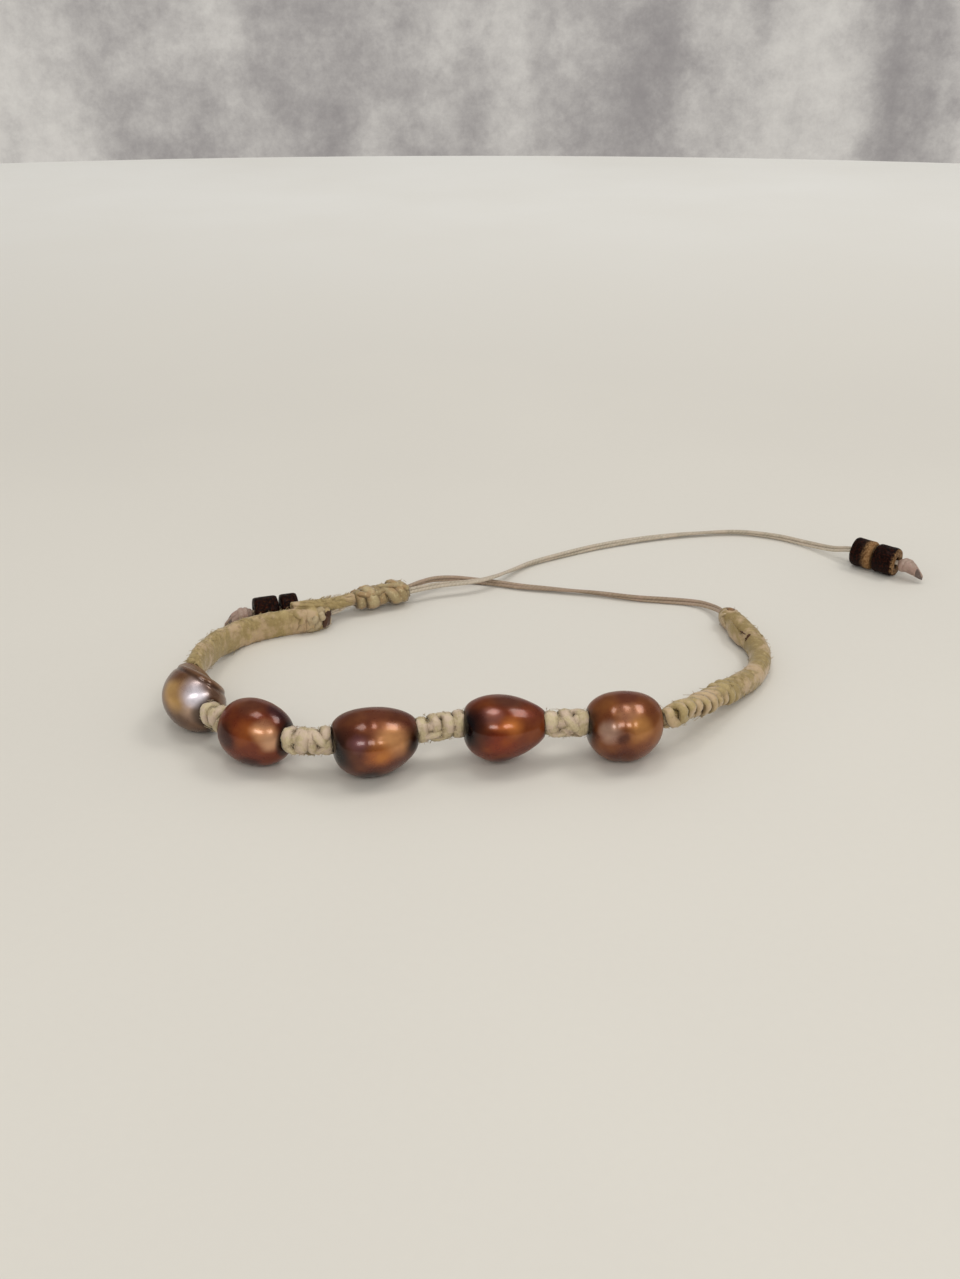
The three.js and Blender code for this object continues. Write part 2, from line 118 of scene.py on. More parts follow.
def smooth_route(points, step):
    """Places at even steps along a smooth curve through the points."""
    points = np.array(points, float)
    ends = np.vstack([2 * points[0] - points[1], points, 2 * points[-1] - points[-2]])
    fine = []
    for i in range(1, len(ends) - 2):
        p0, p1, p2, p3 = ends[i - 1:i + 3]
        legs = [np.linalg.norm(b - a) ** 0.5 for a, b in ((p0, p1), (p1, p2), (p2, p3))]
        k0, k1, k2, k3 = np.cumsum([0, *legs])
        t = np.linspace(k1, k2, 24, endpoint=False)[:, None]
        a1 = p0 + (p1 - p0) * (t - k0) / (k1 - k0)
        a2 = p1 + (p2 - p1) * (t - k1) / (k2 - k1)
        a3 = p2 + (p3 - p2) * (t - k2) / (k3 - k2)
        b1 = a1 + (a2 - a1) * (t - k0) / (k2 - k0)
        b2 = a2 + (a3 - a2) * (t - k1) / (k3 - k1)
        fine.append(b1 + (b2 - b1) * (t - k1) / (k2 - k1))
    fine = np.vstack([*fine, points[-1:]])
    run = run_along(fine)
    places = np.linspace(0, run[-1], max(2, round(run[-1] / step)) + 1)
    return np.column_stack([np.interp(places, run, fine[:, i]) for i in range(3)])


class Strands:
    """Meshes in millimetres, gathered into one piece: strands along paths, and bodies made of rings."""

    def __init__(self):
        self.points = []
        self.faces = []
        self.uvs = []
        self.tones = []
        self.paints = []
        self.groove_shades = []

    def rings(self, rings, runs, closed, tone=0.5, paint=0, groove_shades=None):
        """Skin over rings of equally many points. A closed body's last ring joins its first one.
        Tone is how light each stretch is, paint the number of its finish, and groove shades how dark
        each point is painted, as painted shade."""
        count = len(rings)
        sides = len(rings[0])
        first = len(self.points)
        before = len(self.faces)
        tones = np.broadcast_to(np.asarray(tone, float), (count,))
        for ring in rings:
            self.points.extend(ring)
        self.groove_shades.extend(np.zeros(count * sides) if groove_shades is None else np.ravel(groove_shades))
        for r in range(count if closed else count - 1):
            after = (r + 1) % count
            near = first + r * sides
            far = first + after * sides
            self.tones.extend([tones[r]] * sides)
            for k in range(sides):
                beside = (k + 1) % sides
                self.faces.append((near + k, near + beside, far + beside, far + k))
                v0 = k / sides
                v1 = (k + 1) / sides
                self.uvs.append(((runs[r], v0), (runs[r], v1), (runs[after], v1), (runs[after], v0)))
        if not closed:
            last = first + (count - 1) * sides
            self.faces.append(tuple(range(first + sides - 1, first - 1, -1)))
            self.faces.append(tuple(range(last, last + sides)))
            for run in (runs[0], runs[-1]):
                self.uvs.append(tuple((run, k / sides) for k in range(sides)))
            self.tones.extend([tones[0], tones[-1]])
        self.paints.extend([paint] * (len(self.faces) - before))

    def strand(self, path, ups, width, thickness, tone=0.5, paint=0, sides=10, ends=0.5,
               ribs=0, uneven=0.0, groove_shade=0.0):
        """A strand of oval section along a path, thin along ups, its ends rounded to a share of its width.
        Ribs are the plies that show on a broad strand, and groove shade is the painted shade along its
        sides."""
        path = np.asarray(path, float)
        count = len(path)
        width, thickness, tone, groove_shade = (
            np.broadcast_to(np.asarray(value, float), (count,))
            for value in (width, thickness, tone, groove_shade))
        ahead = unit(np.gradient(path, axis=0))
        ups = np.broadcast_to(np.asarray(ups, float), path.shape)
        ups = unit(ups - np.sum(ups * ahead, axis=1)[:, None] * ahead)
        across = np.cross(ups, ahead)
        angles = circle(sides)
        run = run_along(path)
        half = thickness[0] / 2
        rib_height = 0.05 if ribs else 0.0
        stops = [(0, -half * 0.8, ends), (0, -half * 0.35, (1 + ends) / 2)]
        stops += [(i, 0, 1) for i in range(count)]
        stops += [(count - 1, half * 0.35, (1 + ends) / 2), (count - 1, half * 0.8, ends)]
        rings = []
        for i, push, size in stops:
            swells = size * (1 + rib_height * np.cos(ribs * angles + 1.6 * run[i]))
            sideways = np.outer(np.cos(angles) * width[i], across[i])
            out = sideways + np.outer(np.sin(angles) * thickness[i], ups[i])
            ring = path[i] + ahead[i] * push + out / 2 * swells[:, None]
            if uneven:
                bumps = uneven * (lumps(ring, 0.7, 2) + lumps(ring, 0.28, 3))
                ring = ring + out / width[i] * 2 * bumps[:, None]
            rings.append(ring)
        at = [i for i, _, _ in stops]
        # Painted shade along the strand's sides, darkest where it meets its neighbours.
        groove_shades = np.outer(groove_shade[at], np.abs(np.cos(angles)) ** 3)
        self.rings(rings, run[at], False, tone[at], paint, groove_shades)

    def hair(self, path, ups):
        """One loose fibre."""
        self.strand(path, ups, 0.06, 0.06, 0.8, sides=3, ends=0.3)

    def build(self, name, finishes):
        """The piece, in metres, with the way along (mm) and round (turns) each strand as its UV map."""
        mesh = bpy.data.meshes.new(name)
        mesh.from_pydata((np.array(self.points) * mm).tolist(), [], self.faces)
        layer = mesh.uv_layers.new(name="strand")
        layer.data.foreach_set("uv", np.array([c for face in self.uvs for c in face], np.float32).ravel())
        tone = mesh.attributes.new("tone", "FLOAT", "FACE")
        tone.data.foreach_set("value", np.array(self.tones, np.float32))
        groove_shade = mesh.attributes.new("groove_shade", "FLOAT", "POINT")
        groove_shade.data.foreach_set("value", np.array(self.groove_shades, np.float32))
        mesh.polygons.foreach_set("use_smooth", [True] * len(mesh.polygons))
        mesh.polygons.foreach_set("material_index", self.paints)
        for finish in finishes:
            mesh.materials.append(finish)
        mesh.update()
        piece = bpy.data.objects.new(name, mesh)
        scene.collection.objects.link(piece)
        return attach(piece, "root")


def tint(red, green, blue):
    """A colour as seen, 0 to 255, as the shader's own values."""
    seen = [v / 255 for v in (red, green, blue)]
    return (*[v / 12.92 if v <= 0.04045 else ((v + 0.055) / 1.055) ** 2.4 for v in seen], 1)


def feed(tree, node, inputs):
    """Gives each input its value, or joins it to another node's output."""
    for key, value in inputs.items():
        if isinstance(value, bpy.types.NodeSocket):
            tree.links.new(value, node.inputs[key])
        else:
            node.inputs[key].default_value = value


def put(tree, kind, inputs=None, **settings):
    """A node with its settings and inputs."""
    node = tree.nodes.new(kind)
    for key, value in settings.items():
        setattr(node, key, value)
    feed(tree, node, inputs or {})
    return node


def maths(tree, operation, first, second=0.0, third=0.0):
    return put(tree, "ShaderNodeMath", {0: first, 1: second, 2: third}, operation=operation).outputs[0]


def spread(tree, value, low, high, to_low=0.0, to_high=1.0):
    """A value's way from low to high, eased, as a share or between two other values."""
    inputs = {"Value": value, "From Min": low, "From Max": high, "To Min": to_low, "To Max": to_high}
    return put(tree, "ShaderNodeMapRange", inputs, interpolation_type="SMOOTHSTEP").outputs["Result"]


def mixed(tree, share, below, above):
    """One colour over another, by a share from 0 to 1."""
    return put(tree, "ShaderNodeMix", {0: share, 6: below, 7: above}, data_type="RGBA").outputs[2]


def clouds(tree, place, scale, detail, roughness=0.5):
    """Soft noise from 0 to 1 at a place."""
    inputs = {"Vector": place, "Scale": scale, "Detail": detail, "Roughness": roughness}
    return put(tree, "ShaderNodeTexNoise", inputs).outputs[0]


def object_place(tree, scale=1.0):
    """Where on the object a point is, in metres or, scaled up, in a smaller unit."""
    place = put(tree, "ShaderNodeTexCoord").outputs["Object"]
    if scale == 1.0:
        return place
    return put(tree, "ShaderNodeVectorMath", {0: place, "Scale": scale}, operation="SCALE").outputs[0]


def shader_group(name, inputs, outputs):
    """An empty shader group. Its sockets are given as a name, a kind and, for inputs, a usual value."""
    group = bpy.data.node_groups.new(name, "ShaderNodeTree")
    for label, kind, value in inputs:
        socket = group.interface.new_socket(label, in_out="INPUT", socket_type=f"NodeSocket{kind}")
        socket.default_value = value
    for label, kind in outputs:
        group.interface.new_socket(label, in_out="OUTPUT", socket_type=f"NodeSocket{kind}")
    return group, group.nodes.new("NodeGroupInput"), group.nodes.new("NodeGroupOutput")


def bumped(tree, relief, strength, depth):
    """The directions of a surface with fine relief. Its depth is in millimetres."""
    inputs = {"Height": relief, "Strength": strength, "Distance": depth * mm}
    return put(tree, "ShaderNodeBump", inputs).outputs[0]


def place_group(tree, group, inputs):
    return put(tree, "ShaderNodeGroup", inputs, node_tree=group)


def new_material(name):
    """A material, its node tree and its one shader."""
    material = bpy.data.materials.new(name)
    material.use_nodes = True
    return material, material.node_tree, material.node_tree.nodes["Principled BSDF"]


# The spun look of a strand: plies that wind round it, and fine fibres along it. It reads the way along
# and round the strand from the piece's own map.
spun, spun_in, spun_out = shader_group(
    "spun strand",
    [("Ply Length", "Float", 0.9), ("Plies", "Float", 0.2), ("Fibres", "Float", 1.0)],
    [("Height", "Float"), ("Shade", "Float")],
)
way = put(spun, "ShaderNodeUVMap", uv_map="strand").outputs[0]
way_parts = put(spun, "ShaderNodeSeparateXYZ", {0: way})
winding = maths(spun, "DIVIDE", way_parts.outputs[0], spun_in.outputs["Ply Length"])
winding = maths(spun, "ADD", winding, way_parts.outputs[1])
plies = maths(spun, "SINE", maths(spun, "MULTIPLY", winding, 4 * math.pi))
stretched = put(spun, "ShaderNodeMapping", {"Vector": way, "Scale": (2.2, 26, 1)}).outputs[0]
fibres = clouds(spun, stretched, 1.0, 4.0, 0.65)
fibre_height = maths(spun, "MULTIPLY", fibres, spun_in.outputs["Fibres"])
height = maths(spun, "MULTIPLY_ADD", plies, spun_in.outputs["Plies"], fibre_height)
# Its shade is partly painted shade in the hollows between the plies, partly the fibres' own uneven tone.
feed(spun, spun_out, {"Height": height, "Shade": spread(spun, height, 0.1, 0.95)})

# The stains of wear: soft clouds of another colour, that handling and old wax leave on the thread.
stain, stain_in, stain_out = shader_group(
    "handling stain",
    [("Below", "Color", (1, 1, 1, 1)), ("Stain", "Color", (0, 0, 0, 1)), ("Size", "Float", 2.0),
     ("Reach", "Float", 0.5), ("Strength", "Float", 0.5)],
    [("Color", "Color"), ("Mask", "Float")],
)
per_size = maths(stain, "DIVIDE", 1.0, stain_in.outputs["Size"])
stain_clouds = clouds(stain, object_place(stain, 1000.0), per_size, 5.0, 0.6)
low_edge = maths(stain, "SUBTRACT", 0.78, maths(stain, "MULTIPLY", stain_in.outputs["Reach"], 0.5))
stained = spread(stain, stain_clouds, low_edge, maths(stain, "ADD", low_edge, 0.16))
share = maths(stain, "MULTIPLY", stained, stain_in.outputs["Strength"])
stained_colour = mixed(stain, share, stain_in.outputs["Below"], stain_in.outputs["Stain"])
feed(stain, stain_out, {"Color": stained_colour, "Mask": share})


def thread_material(name, light, dark, old_wax, ply_length=0.9, plies=0.0, fibres=0.6, wax_size=2.4,
                    sheen=0.25, roughness=0.62):
    """Waxed spun thread: light on the plies, dark between them, painted shade along its sides, with some
    old wax.
    """
    light, dark, old_wax = (tint(*seen) for seen in (light, dark, old_wax))
    material, tree, shader = new_material(name)
    look = place_group(tree, spun, {"Ply Length": ply_length, "Plies": plies, "Fibres": fibres})
    tone = put(tree, "ShaderNodeAttribute", attribute_name="tone").outputs["Fac"]
    share = maths(tree, "MULTIPLY_ADD", look.outputs["Shade"], 0.55, maths(tree, "MULTIPLY", tone, 0.5))
    worn = place_group(tree, stain, {
        "Below": mixed(tree, share, dark, light), "Stain": old_wax, "Size": wax_size, "Reach": 0.68,
        "Strength": 0.7})
    fine = place_group(tree, stain, {
        "Below": worn.outputs["Color"], "Stain": light, "Size": 0.5, "Reach": 0.5, "Strength": 0.4})
    # Painted shade: the strands' sides are painted darker where they meet their neighbours.
    groove_shade = put(tree, "ShaderNodeAttribute", attribute_name="groove_shade").outputs["Fac"]
    deep_shade = (0.045, 0.025, 0.01, 1)
    groove_shade_colour = tuple(0.45 * d + 0.55 * g for d, g in zip(dark, deep_shade))
    feed(tree, shader, {
        "Base Color": mixed(tree, groove_shade, fine.outputs["Color"], groove_shade_colour),
        "Roughness": spread(tree, worn.outputs["Mask"], 0.0, 0.5, roughness, roughness - 0.18),
        "Normal": bumped(tree, look.outputs["Height"], 0.9, 0.06),
        "Sheen Weight": sheen,
        "Sheen Roughness": 0.4,
        "Specular IOR Level": 0.4,
    })
    return material


cord_finishes = {
    "long_tail": thread_material(
        "pale thread", (226, 216, 198), (156, 142, 120), (200, 184, 164),
        ply_length=1.2, plies=0.12, fibres=0.7),
    "short_tail": thread_material(
        "taupe thread", (200, 180, 156), (136, 114, 92), (174, 148, 128),
        ply_length=1.2, plies=0.12, fibres=0.7),
}
half_turns_at = {"long_tail": (0.4, 3.0), "short_tail": (0.05, 2.5)}
for tail, route in cord_routes.items():
    path = smooth_route(route, 0.3 * mm) / mm
    ahead = unit(np.gradient(path, axis=0))
    side = unit(np.cross(ahead, (0, 0, 1)))
    lifted = np.cross(side, ahead)
    turn = np.linspace(*half_turns_at[tail], len(path))[:, None] * math.pi
    apart = (side * np.cos(turn) + lifted * np.sin(turn)) * 0.48 * strand_width
    pair = Strands()
    pair.strand(path + apart, side, strand_width, strand_width * 1.08, 0.35, groove_shade=0.25)
    pair.strand(path - apart, side, strand_width, strand_width * 1.08, 0.65, groove_shade=0.25)
    cord = pair.build(f"{tail}_cord_strands", [cord_finishes[tail]])
    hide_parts(f"{tail}_cord")


# The loop: the same pair of strands runs whole through both bands, the pearls and the knots between them.
# Pearls and bands lie on the table on small flats, and the thread rises and falls between their middles.
# Lengths are in millimetres, and headings in degrees, seen from above.
touch_gap = 0.3
bore_radius = 0.7
pearl_flat = 0.32
band_flat = 0.22
pearls = {
    # name: bore, widest at, heading, lift, outward, inward, above, below
    "pearl_1": (10.4, 0.58, -69, 0, 5.0, 2.7, 4.1, 4.4),
    "pearl_2": (8.7, 0.46, -28, 0, 4.1, 3.5, 3.7, 4.4),
    "pearl_3": (10.1, 0.43, 12, 0, 4.9, 3.4, 3.4, 5.0),
    "pearl_4": (9.7, 0.42, 1, 0.9, 4.4, 3.5, 3.4, 4.5),
    "pearl_5": (9.1, 0.48, 6, 0, 4.8, 3.7, 3.7, 5.0),
}
links = {
    # name: length, heading
    "knot_1": (2.7, -32),
    "knot_2": (5.1, -15),
    "knot_3": (5.1, 12),
    "knot_4": (4.5, 9),
}
left_band_length = 28.7
left_band_width = 3.9
left_band_thickness = 1.9
right_band_length = 40.2
right_band_width = 3.1
right_band_thickness = 2.8
left_band_course = [
    # along, heading, climb
    (0.0, -148, 0), (0.23, -159, 0), (0.37, -148, 0.02), (0.5, -120, 0.15),
    (0.7, -104, 0.55), (0.88, -96, 0.9), (1.0, -86, 1),
]
right_band_course = [
    (0.0, 24, 1), (0.06, 47, 0.97), (0.25, 52, 0.6), (0.4, 50, 0.25), (0.52, 57, 0.04),
    (0.62, 72, 0), (0.74, 95, 0), (0.86, 107, 0), (1.0, 112, 0),
]
loop_start = (-21.6, 16.7)
left_height = left_band_width / 2 - band_flat
right_height = right_band_width / 2 - band_flat
starts = {}
turns = [(0.0, left_band_course[0][1], left_height)]


def bore_height(name):
    """How high over the table the thread runs through a pearl."""
    _, _, _, lift, _, _, _, below = pearls[name]
    return lift + below - pearl_flat


def reach_on(length, heading, height):
    """Adds a stretch of thread that ends with this heading and height."""
    turns.append((turns[-1][0] + length, heading, height))


def reach_on_band(course, length, table_height, pearl_height):
    """Adds a band's stretches, whose height climbs from the table's to the next pearl's."""
    for (last, _, _), (along, heading, climb) in zip(course, course[1:]):
        reach_on((along - last) * length, heading, between(table_height, pearl_height, climb))


pearl_names = list(pearls)
reach_on_band(left_band_course, left_band_length, left_height, bore_height("pearl_1"))
reach_on(touch_gap, pearls["pearl_1"][2], bore_height("pearl_1"))
for i, (name, (bore, _, heading, *_)) in enumerate(pearls.items()):
    starts[name] = turns[-1][0]
    reach_on(bore, heading, bore_height(name))
    if i < len(links):
        link = f"knot_{i + 1}"
        following = pearl_names[i + 1]
        length, heading = links[link]
        starts[link] = turns[-1][0] + touch_gap
        reach_on(length / 2 + touch_gap, heading, (bore_height(name) + bore_height(following)) / 2)
        reach_on(length / 2 + touch_gap, pearls[following][2], bore_height(following))
reach_on(touch_gap, right_band_course[0][1], bore_height("pearl_5"))
starts["right_band"] = turns[-1][0]
reach_on_band(right_band_course, right_band_length, right_height, bore_height("pearl_5"))
loop_end = turns[-1][0]


class Way:
    """A thread's way, read at any distance along it: its place, and the direction towards the wrist."""

    def __init__(self, start, turns):
        stops, headings, heights = (np.array(column, float) for column in zip(*turns))
        self.along = np.linspace(stops[0], stops[-1], round((stops[-1] - stops[0]) / 0.02) + 1)
        self.heading = np.radians(np.interp(self.along, stops, headings))
        pace = self.along[1] - self.along[0]
        middle = (self.heading[1:] + self.heading[:-1]) / 2
        self.x = start[0] + np.concatenate([[0], np.cumsum(np.cos(middle)) * pace])
        self.y = start[1] + np.concatenate([[0], np.cumsum(np.sin(middle)) * pace])
        leg = np.clip(np.searchsorted(stops, self.along, side="right") - 1, 0, len(stops) - 2)
        share = (self.along - stops[leg]) / np.maximum(stops[leg + 1] - stops[leg], 1e-9)
        self.z = heights[leg] + (heights[leg + 1] - heights[leg]) * share * share * (3 - 2 * share)

    def at(self, along):
        """The place at a distance along the thread, and the direction towards the wrist there."""
        along = np.asarray(along, float)
        heading = np.interp(along, self.along, self.heading)
        ahead = np.stack([np.cos(heading), np.sin(heading), np.zeros_like(heading)], -1)
        past = (along - np.clip(along, self.along[0], self.along[-1]))[..., None]
        place = np.stack([np.interp(along, self.along, v) for v in (self.x, self.y, self.z)], -1)
        inward = np.stack([-ahead[..., 1], ahead[..., 0], ahead[..., 2]], -1)
        return place + ahead * past, inward

    def around(self, along, reach, angle):
        """Points at a reach from the thread and an angle round it: 0 is towards the wrist, then up."""
        place, inward = self.at(along)
        reach = np.asarray(reach, float)[..., None]
        angle = np.asarray(angle, float)[..., None]
        return place + inward * reach * np.cos(angle) + np.array((0, 0, 1.0)) * reach * np.sin(angle)


loop = Way(loop_start, turns)
core_run = np.arange(touch_gap, loop_end - touch_gap, 0.35)
core_turn = core_run / 11 * math.pi
core = Strands()
for side_turn, tone in ((0, 0.35), (math.pi, 0.65)):
    path = loop.around(core_run, np.full_like(core_run, 0.24), core_turn + side_turn)
    core.strand(path, path - loop.at(core_run)[0], strand_width * 0.96, strand_width, tone)
core_thread = core.build("core_thread_strands", [cord_finishes["long_tail"]])
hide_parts("core_thread")


# The pearls: baroque freshwater pearls dyed a chocolate colour, each drilled lengthwise for the thread.
# They differ in form: a half pearl with a rim and a flat back, two eggs, a drop, and a round one with a
# crease. Nacre is thin clear layers, so its colour drifts in soft patches under a lustrous outer skin.
# Other patches are painted highlights where the lamps reflect, and painted shade at the ends and
# underneath.
pearl_rows = 110
pearl_sides = 132
pearl_ends = {
    # near and far end: how pointed (1 is round), and how far the tip stands out from the drill hole
    "pearl_1": ((1.0, 0.42), (1.0, 0.42)),
    "pearl_2": ((1.1, 0.5), (1.2, 0.9)),
    "pearl_3": ((1.3, 0.7), (1.35, 0.8)),
    "pearl_4": ((1.25, 0.6), (1.6, 0.8)),
    "pearl_5": ((1.1, 0.5), (1.15, 0.5)),
}
flat_lean = math.radians(46)
flat_side = (math.cos(flat_lean), math.sin(flat_lean))
flat_slope = 0.36
flat_at = 2.05
crease_at = 1.2
pearl_looks = {
    # slot, body colour, and patches of nacre colour, painted highlight and painted shade: colour, place as
    # seen from the front (right, up) and reach, in radii
    "pearl_1": (
        "pearl_mauve",
        (122, 92, 72),
        [
            # painted highlights: the lilac glow and the near-white patch near the middle; painted shade:
            # the dark patch low at the right
            ((108, 82, 66), (-0.64, -0.45), 0.7),
            ((192, 148, 96), (-0.55, 0.2), 0.7),
            ((168, 138, 118), (-0.05, -0.35), 0.5),
            ((214, 192, 190), (0.02, 0.12), 0.6),
            ((250, 242, 250), (0.08, 0.05), 0.45),
            ((118, 76, 46), (-0.3, 0.85), 0.62),
            ((40, 22, 14), (0.55, -0.75), 0.55),
        ],
    ),
    "pearl_2": (
        "pearl_mahogany",
        (118, 50, 20),
        [
            # painted highlights: the two pale patches right of the middle; painted shade: the dark patch
            # underneath, and the dark ends, which are partly the nacre's colour
            ((66, 24, 10), (-0.88, 0.0), 0.6),
            ((112, 60, 38), (-0.07, 0.85), 0.6),
            ((78, 40, 38), (0.6, 0.6), 0.5),
            ((146, 70, 32), (-0.4, 0.15), 0.55),
            ((200, 140, 100), (0.2, 0.08), 0.5),
            ((186, 136, 106), (0.36, -0.22), 0.42),
            ((70, 22, 10), (-0.3, -0.9), 0.5),
            ((12, 2, 4), (0.88, 0.0), 0.74),
        ],
    ),
    "pearl_3": (
        "pearl_plum",
        (104, 52, 30),
        [
            # painted highlights: the broad copper-gold patch at the right and the lighter one high up, both
            # partly the nacre's colour; painted shade: the dark patch underneath, and the near-black ends,
            # which are partly the nacre's colour
            ((16, 3, 4), (-0.88, -0.08), 0.85),
            ((122, 66, 42), (0.0, 0.88), 0.55),
            ((146, 84, 54), (0.1, 0.5), 0.45),
            ((110, 66, 66), (-0.36, 0.08), 0.36),
            ((188, 128, 84), (0.45, 0.14), 0.7),
            ((172, 100, 46), (0.1, -0.3), 0.5),
            ((44, 14, 8), (-0.15, -0.95), 0.5),
            ((34, 12, 7), (0.95, 0.05), 0.56),
        ],
    ),
    "pearl_4": (
        "pearl_wine",
        (118, 50, 20),
        [
            # painted highlights: the pinkish patch high at the left and the glow near the middle; painted
            # shade: the dark patch underneath, and the dark ends, which are partly the nacre's colour
            ((108, 60, 42), (0.1, 0.9), 0.6),
            ((124, 58, 34), (0.7, 0.4), 0.5),
            ((150, 90, 76), (-0.3, 0.42), 0.4),
            ((176, 96, 48), (0.15, 0.12), 0.5),
            ((132, 50, 6), (-0.1, -0.42), 0.6),
            ((74, 20, 6), (0.0, -0.98), 0.4),
            ((10, 0, 4), (-0.85, 0.04), 0.92),
            ((44, 12, 6), (1.02, 0.1), 0.36),
        ],
    ),
    "pearl_5": (
        "pearl_bronze",
        (130, 72, 36),
        [
            # painted highlights: the pale glows high in the middle and at the left, and partly the copper
            # patch at the right; painted shade: the dark patches underneath and in the dent, and the dark
            # left end, which is partly the nacre's colour
            ((24, 6, 7), (-0.92, 0.0), 0.66),
            ((120, 64, 42), (0.0, 0.92), 0.55),
            ((178, 120, 86), (0.1, 0.45), 0.5),
            ((168, 130, 112), (-0.36, -0.08), 0.42),
            ((176, 116, 66), (0.45, 0.05), 0.5),
            ((98, 44, 16), (0.0, -0.85), 0.7),
            ((86, 38, 12), (-0.01, -0.28), 0.26),
        ],
    ),
}
# The patches were placed as seen from this point in front of the loop (mm), looking down at this pitch.
judged_from = (0.1, -164.05)
judged_pitch = math.radians(28)


def patch_spot(pearl_middle, heading, right, up):
    """The spot on a pearl, along it, towards the wrist and up, that shows at this place from the front."""
    near = math.sqrt(max(0.0, 1 - right * right - up * up))
    back = up * math.sin(judged_pitch) - near * math.cos(judged_pitch)
    sight = math.atan2(pearl_middle[0] - judged_from[0], pearl_middle[1] - judged_from[1])
    turned = math.radians(heading) + sight
    return (
        right * math.cos(turned) + back * math.sin(turned),
        back * math.cos(turned) - right * math.sin(turned),
        up * math.cos(judged_pitch) + near * math.sin(judged_pitch))


patch, patch_in, patch_out = shader_group(
    "nacre colour and painted light patch",
    [("Below", "Color", (1, 1, 1, 1)), ("Place", "Vector", (0, 0, 0)), ("Colour", "Color", (1, 1, 1, 1)),
     ("Spot", "Vector", (0, 0, 1)), ("Reach", "Float", 0.6)],
    [("Color", "Color")],
)
patch_place = patch_in.outputs["Place"]
wander = put(patch, "ShaderNodeTexNoise", {"Vector": patch_place, "Scale": 1.6, "Detail": 3.0})
strayed = put(
    patch, "ShaderNodeVectorMath", {0: wander.outputs["Color"], 1: (0.24, 0.24, 0.24), 2: patch_place},
    operation="MULTIPLY_ADD")
centred = put(
    patch, "ShaderNodeVectorMath", {0: strayed.outputs[0], 1: (0.12, 0.12, 0.12)}, operation="SUBTRACT")
away = put(
    patch, "ShaderNodeVectorMath", {0: centred.outputs[0], 1: patch_in.outputs["Spot"]},
    operation="DISTANCE")
full_at = maths(patch, "MULTIPLY", patch_in.outputs["Reach"], 0.28)
faded = spread(patch, away.outputs["Value"], patch_in.outputs["Reach"], full_at)
patched = mixed(patch, faded, patch_in.outputs["Below"], patch_in.outputs["Colour"])
feed(patch, patch_out, {"Color": patched})

nacre, nacre_in, nacre_out = shader_group(
    "nacre skin",
    [("Colour", "Color", (1, 1, 1, 1)), ("Place", "Vector", (0, 0, 0)), ("Hole", "Color", (0, 0, 0, 1))],
    [("Color", "Color"), ("Height", "Float"), ("Roughness", "Float")],
)
spot = nacre_in.outputs["Place"]
hole_colour = nacre_in.outputs["Hole"]
ripples = clouds(nacre, spot, 2.2, 3.0, 0.45)
grain = clouds(nacre, spot, 34.0, 3.0)
pits = put(nacre, "ShaderNodeTexVoronoi", {"Vector": spot, "Scale": 4.5}).outputs["Distance"]
pit_depth = spread(nacre, pits, 0.01, 0.07)
height = maths(nacre, "MULTIPLY_ADD", ripples, 0.6, maths(nacre, "MULTIPLY", pit_depth, 0.3))
height = maths(nacre, "MULTIPLY_ADD", grain, 0.03, height)
bare = nacre_in.outputs["Colour"]
lighter = put(nacre, "ShaderNodeHueSaturation", {"Color": bare, "Value": 1.22, "Hue": 0.508}).outputs[0]
deeper = put(nacre, "ShaderNodeHueSaturation", {"Color": bare, "Value": 0.82, "Hue": 0.495}).outputs[0]
veils = clouds(nacre, spot, 1.7, 4.0, 0.5)
veiled = mixed(nacre, spread(nacre, veils, 0.3, 0.72), deeper, lighter)
specked = mixed(nacre, spread(nacre, pits, 0.05, 0.015, 0.0, 0.25), veiled, hole_colour)
# Painted shade: the skin darkens towards the drill hole at each end.
from_middle = maths(nacre, "ABSOLUTE", put(nacre, "ShaderNodeSeparateXYZ", {0: spot}).outputs[0])
hole_mouth_shade = mixed(nacre, spread(nacre, from_middle, 0.94, 1.0, 0.0, 0.8), specked, hole_colour)
nacre_roughness = spread(nacre, veils, 0.3, 0.7, 0.26, 0.36)
feed(nacre, nacre_out, {"Color": hole_mouth_shade, "Height": height, "Roughness": nacre_roughness})


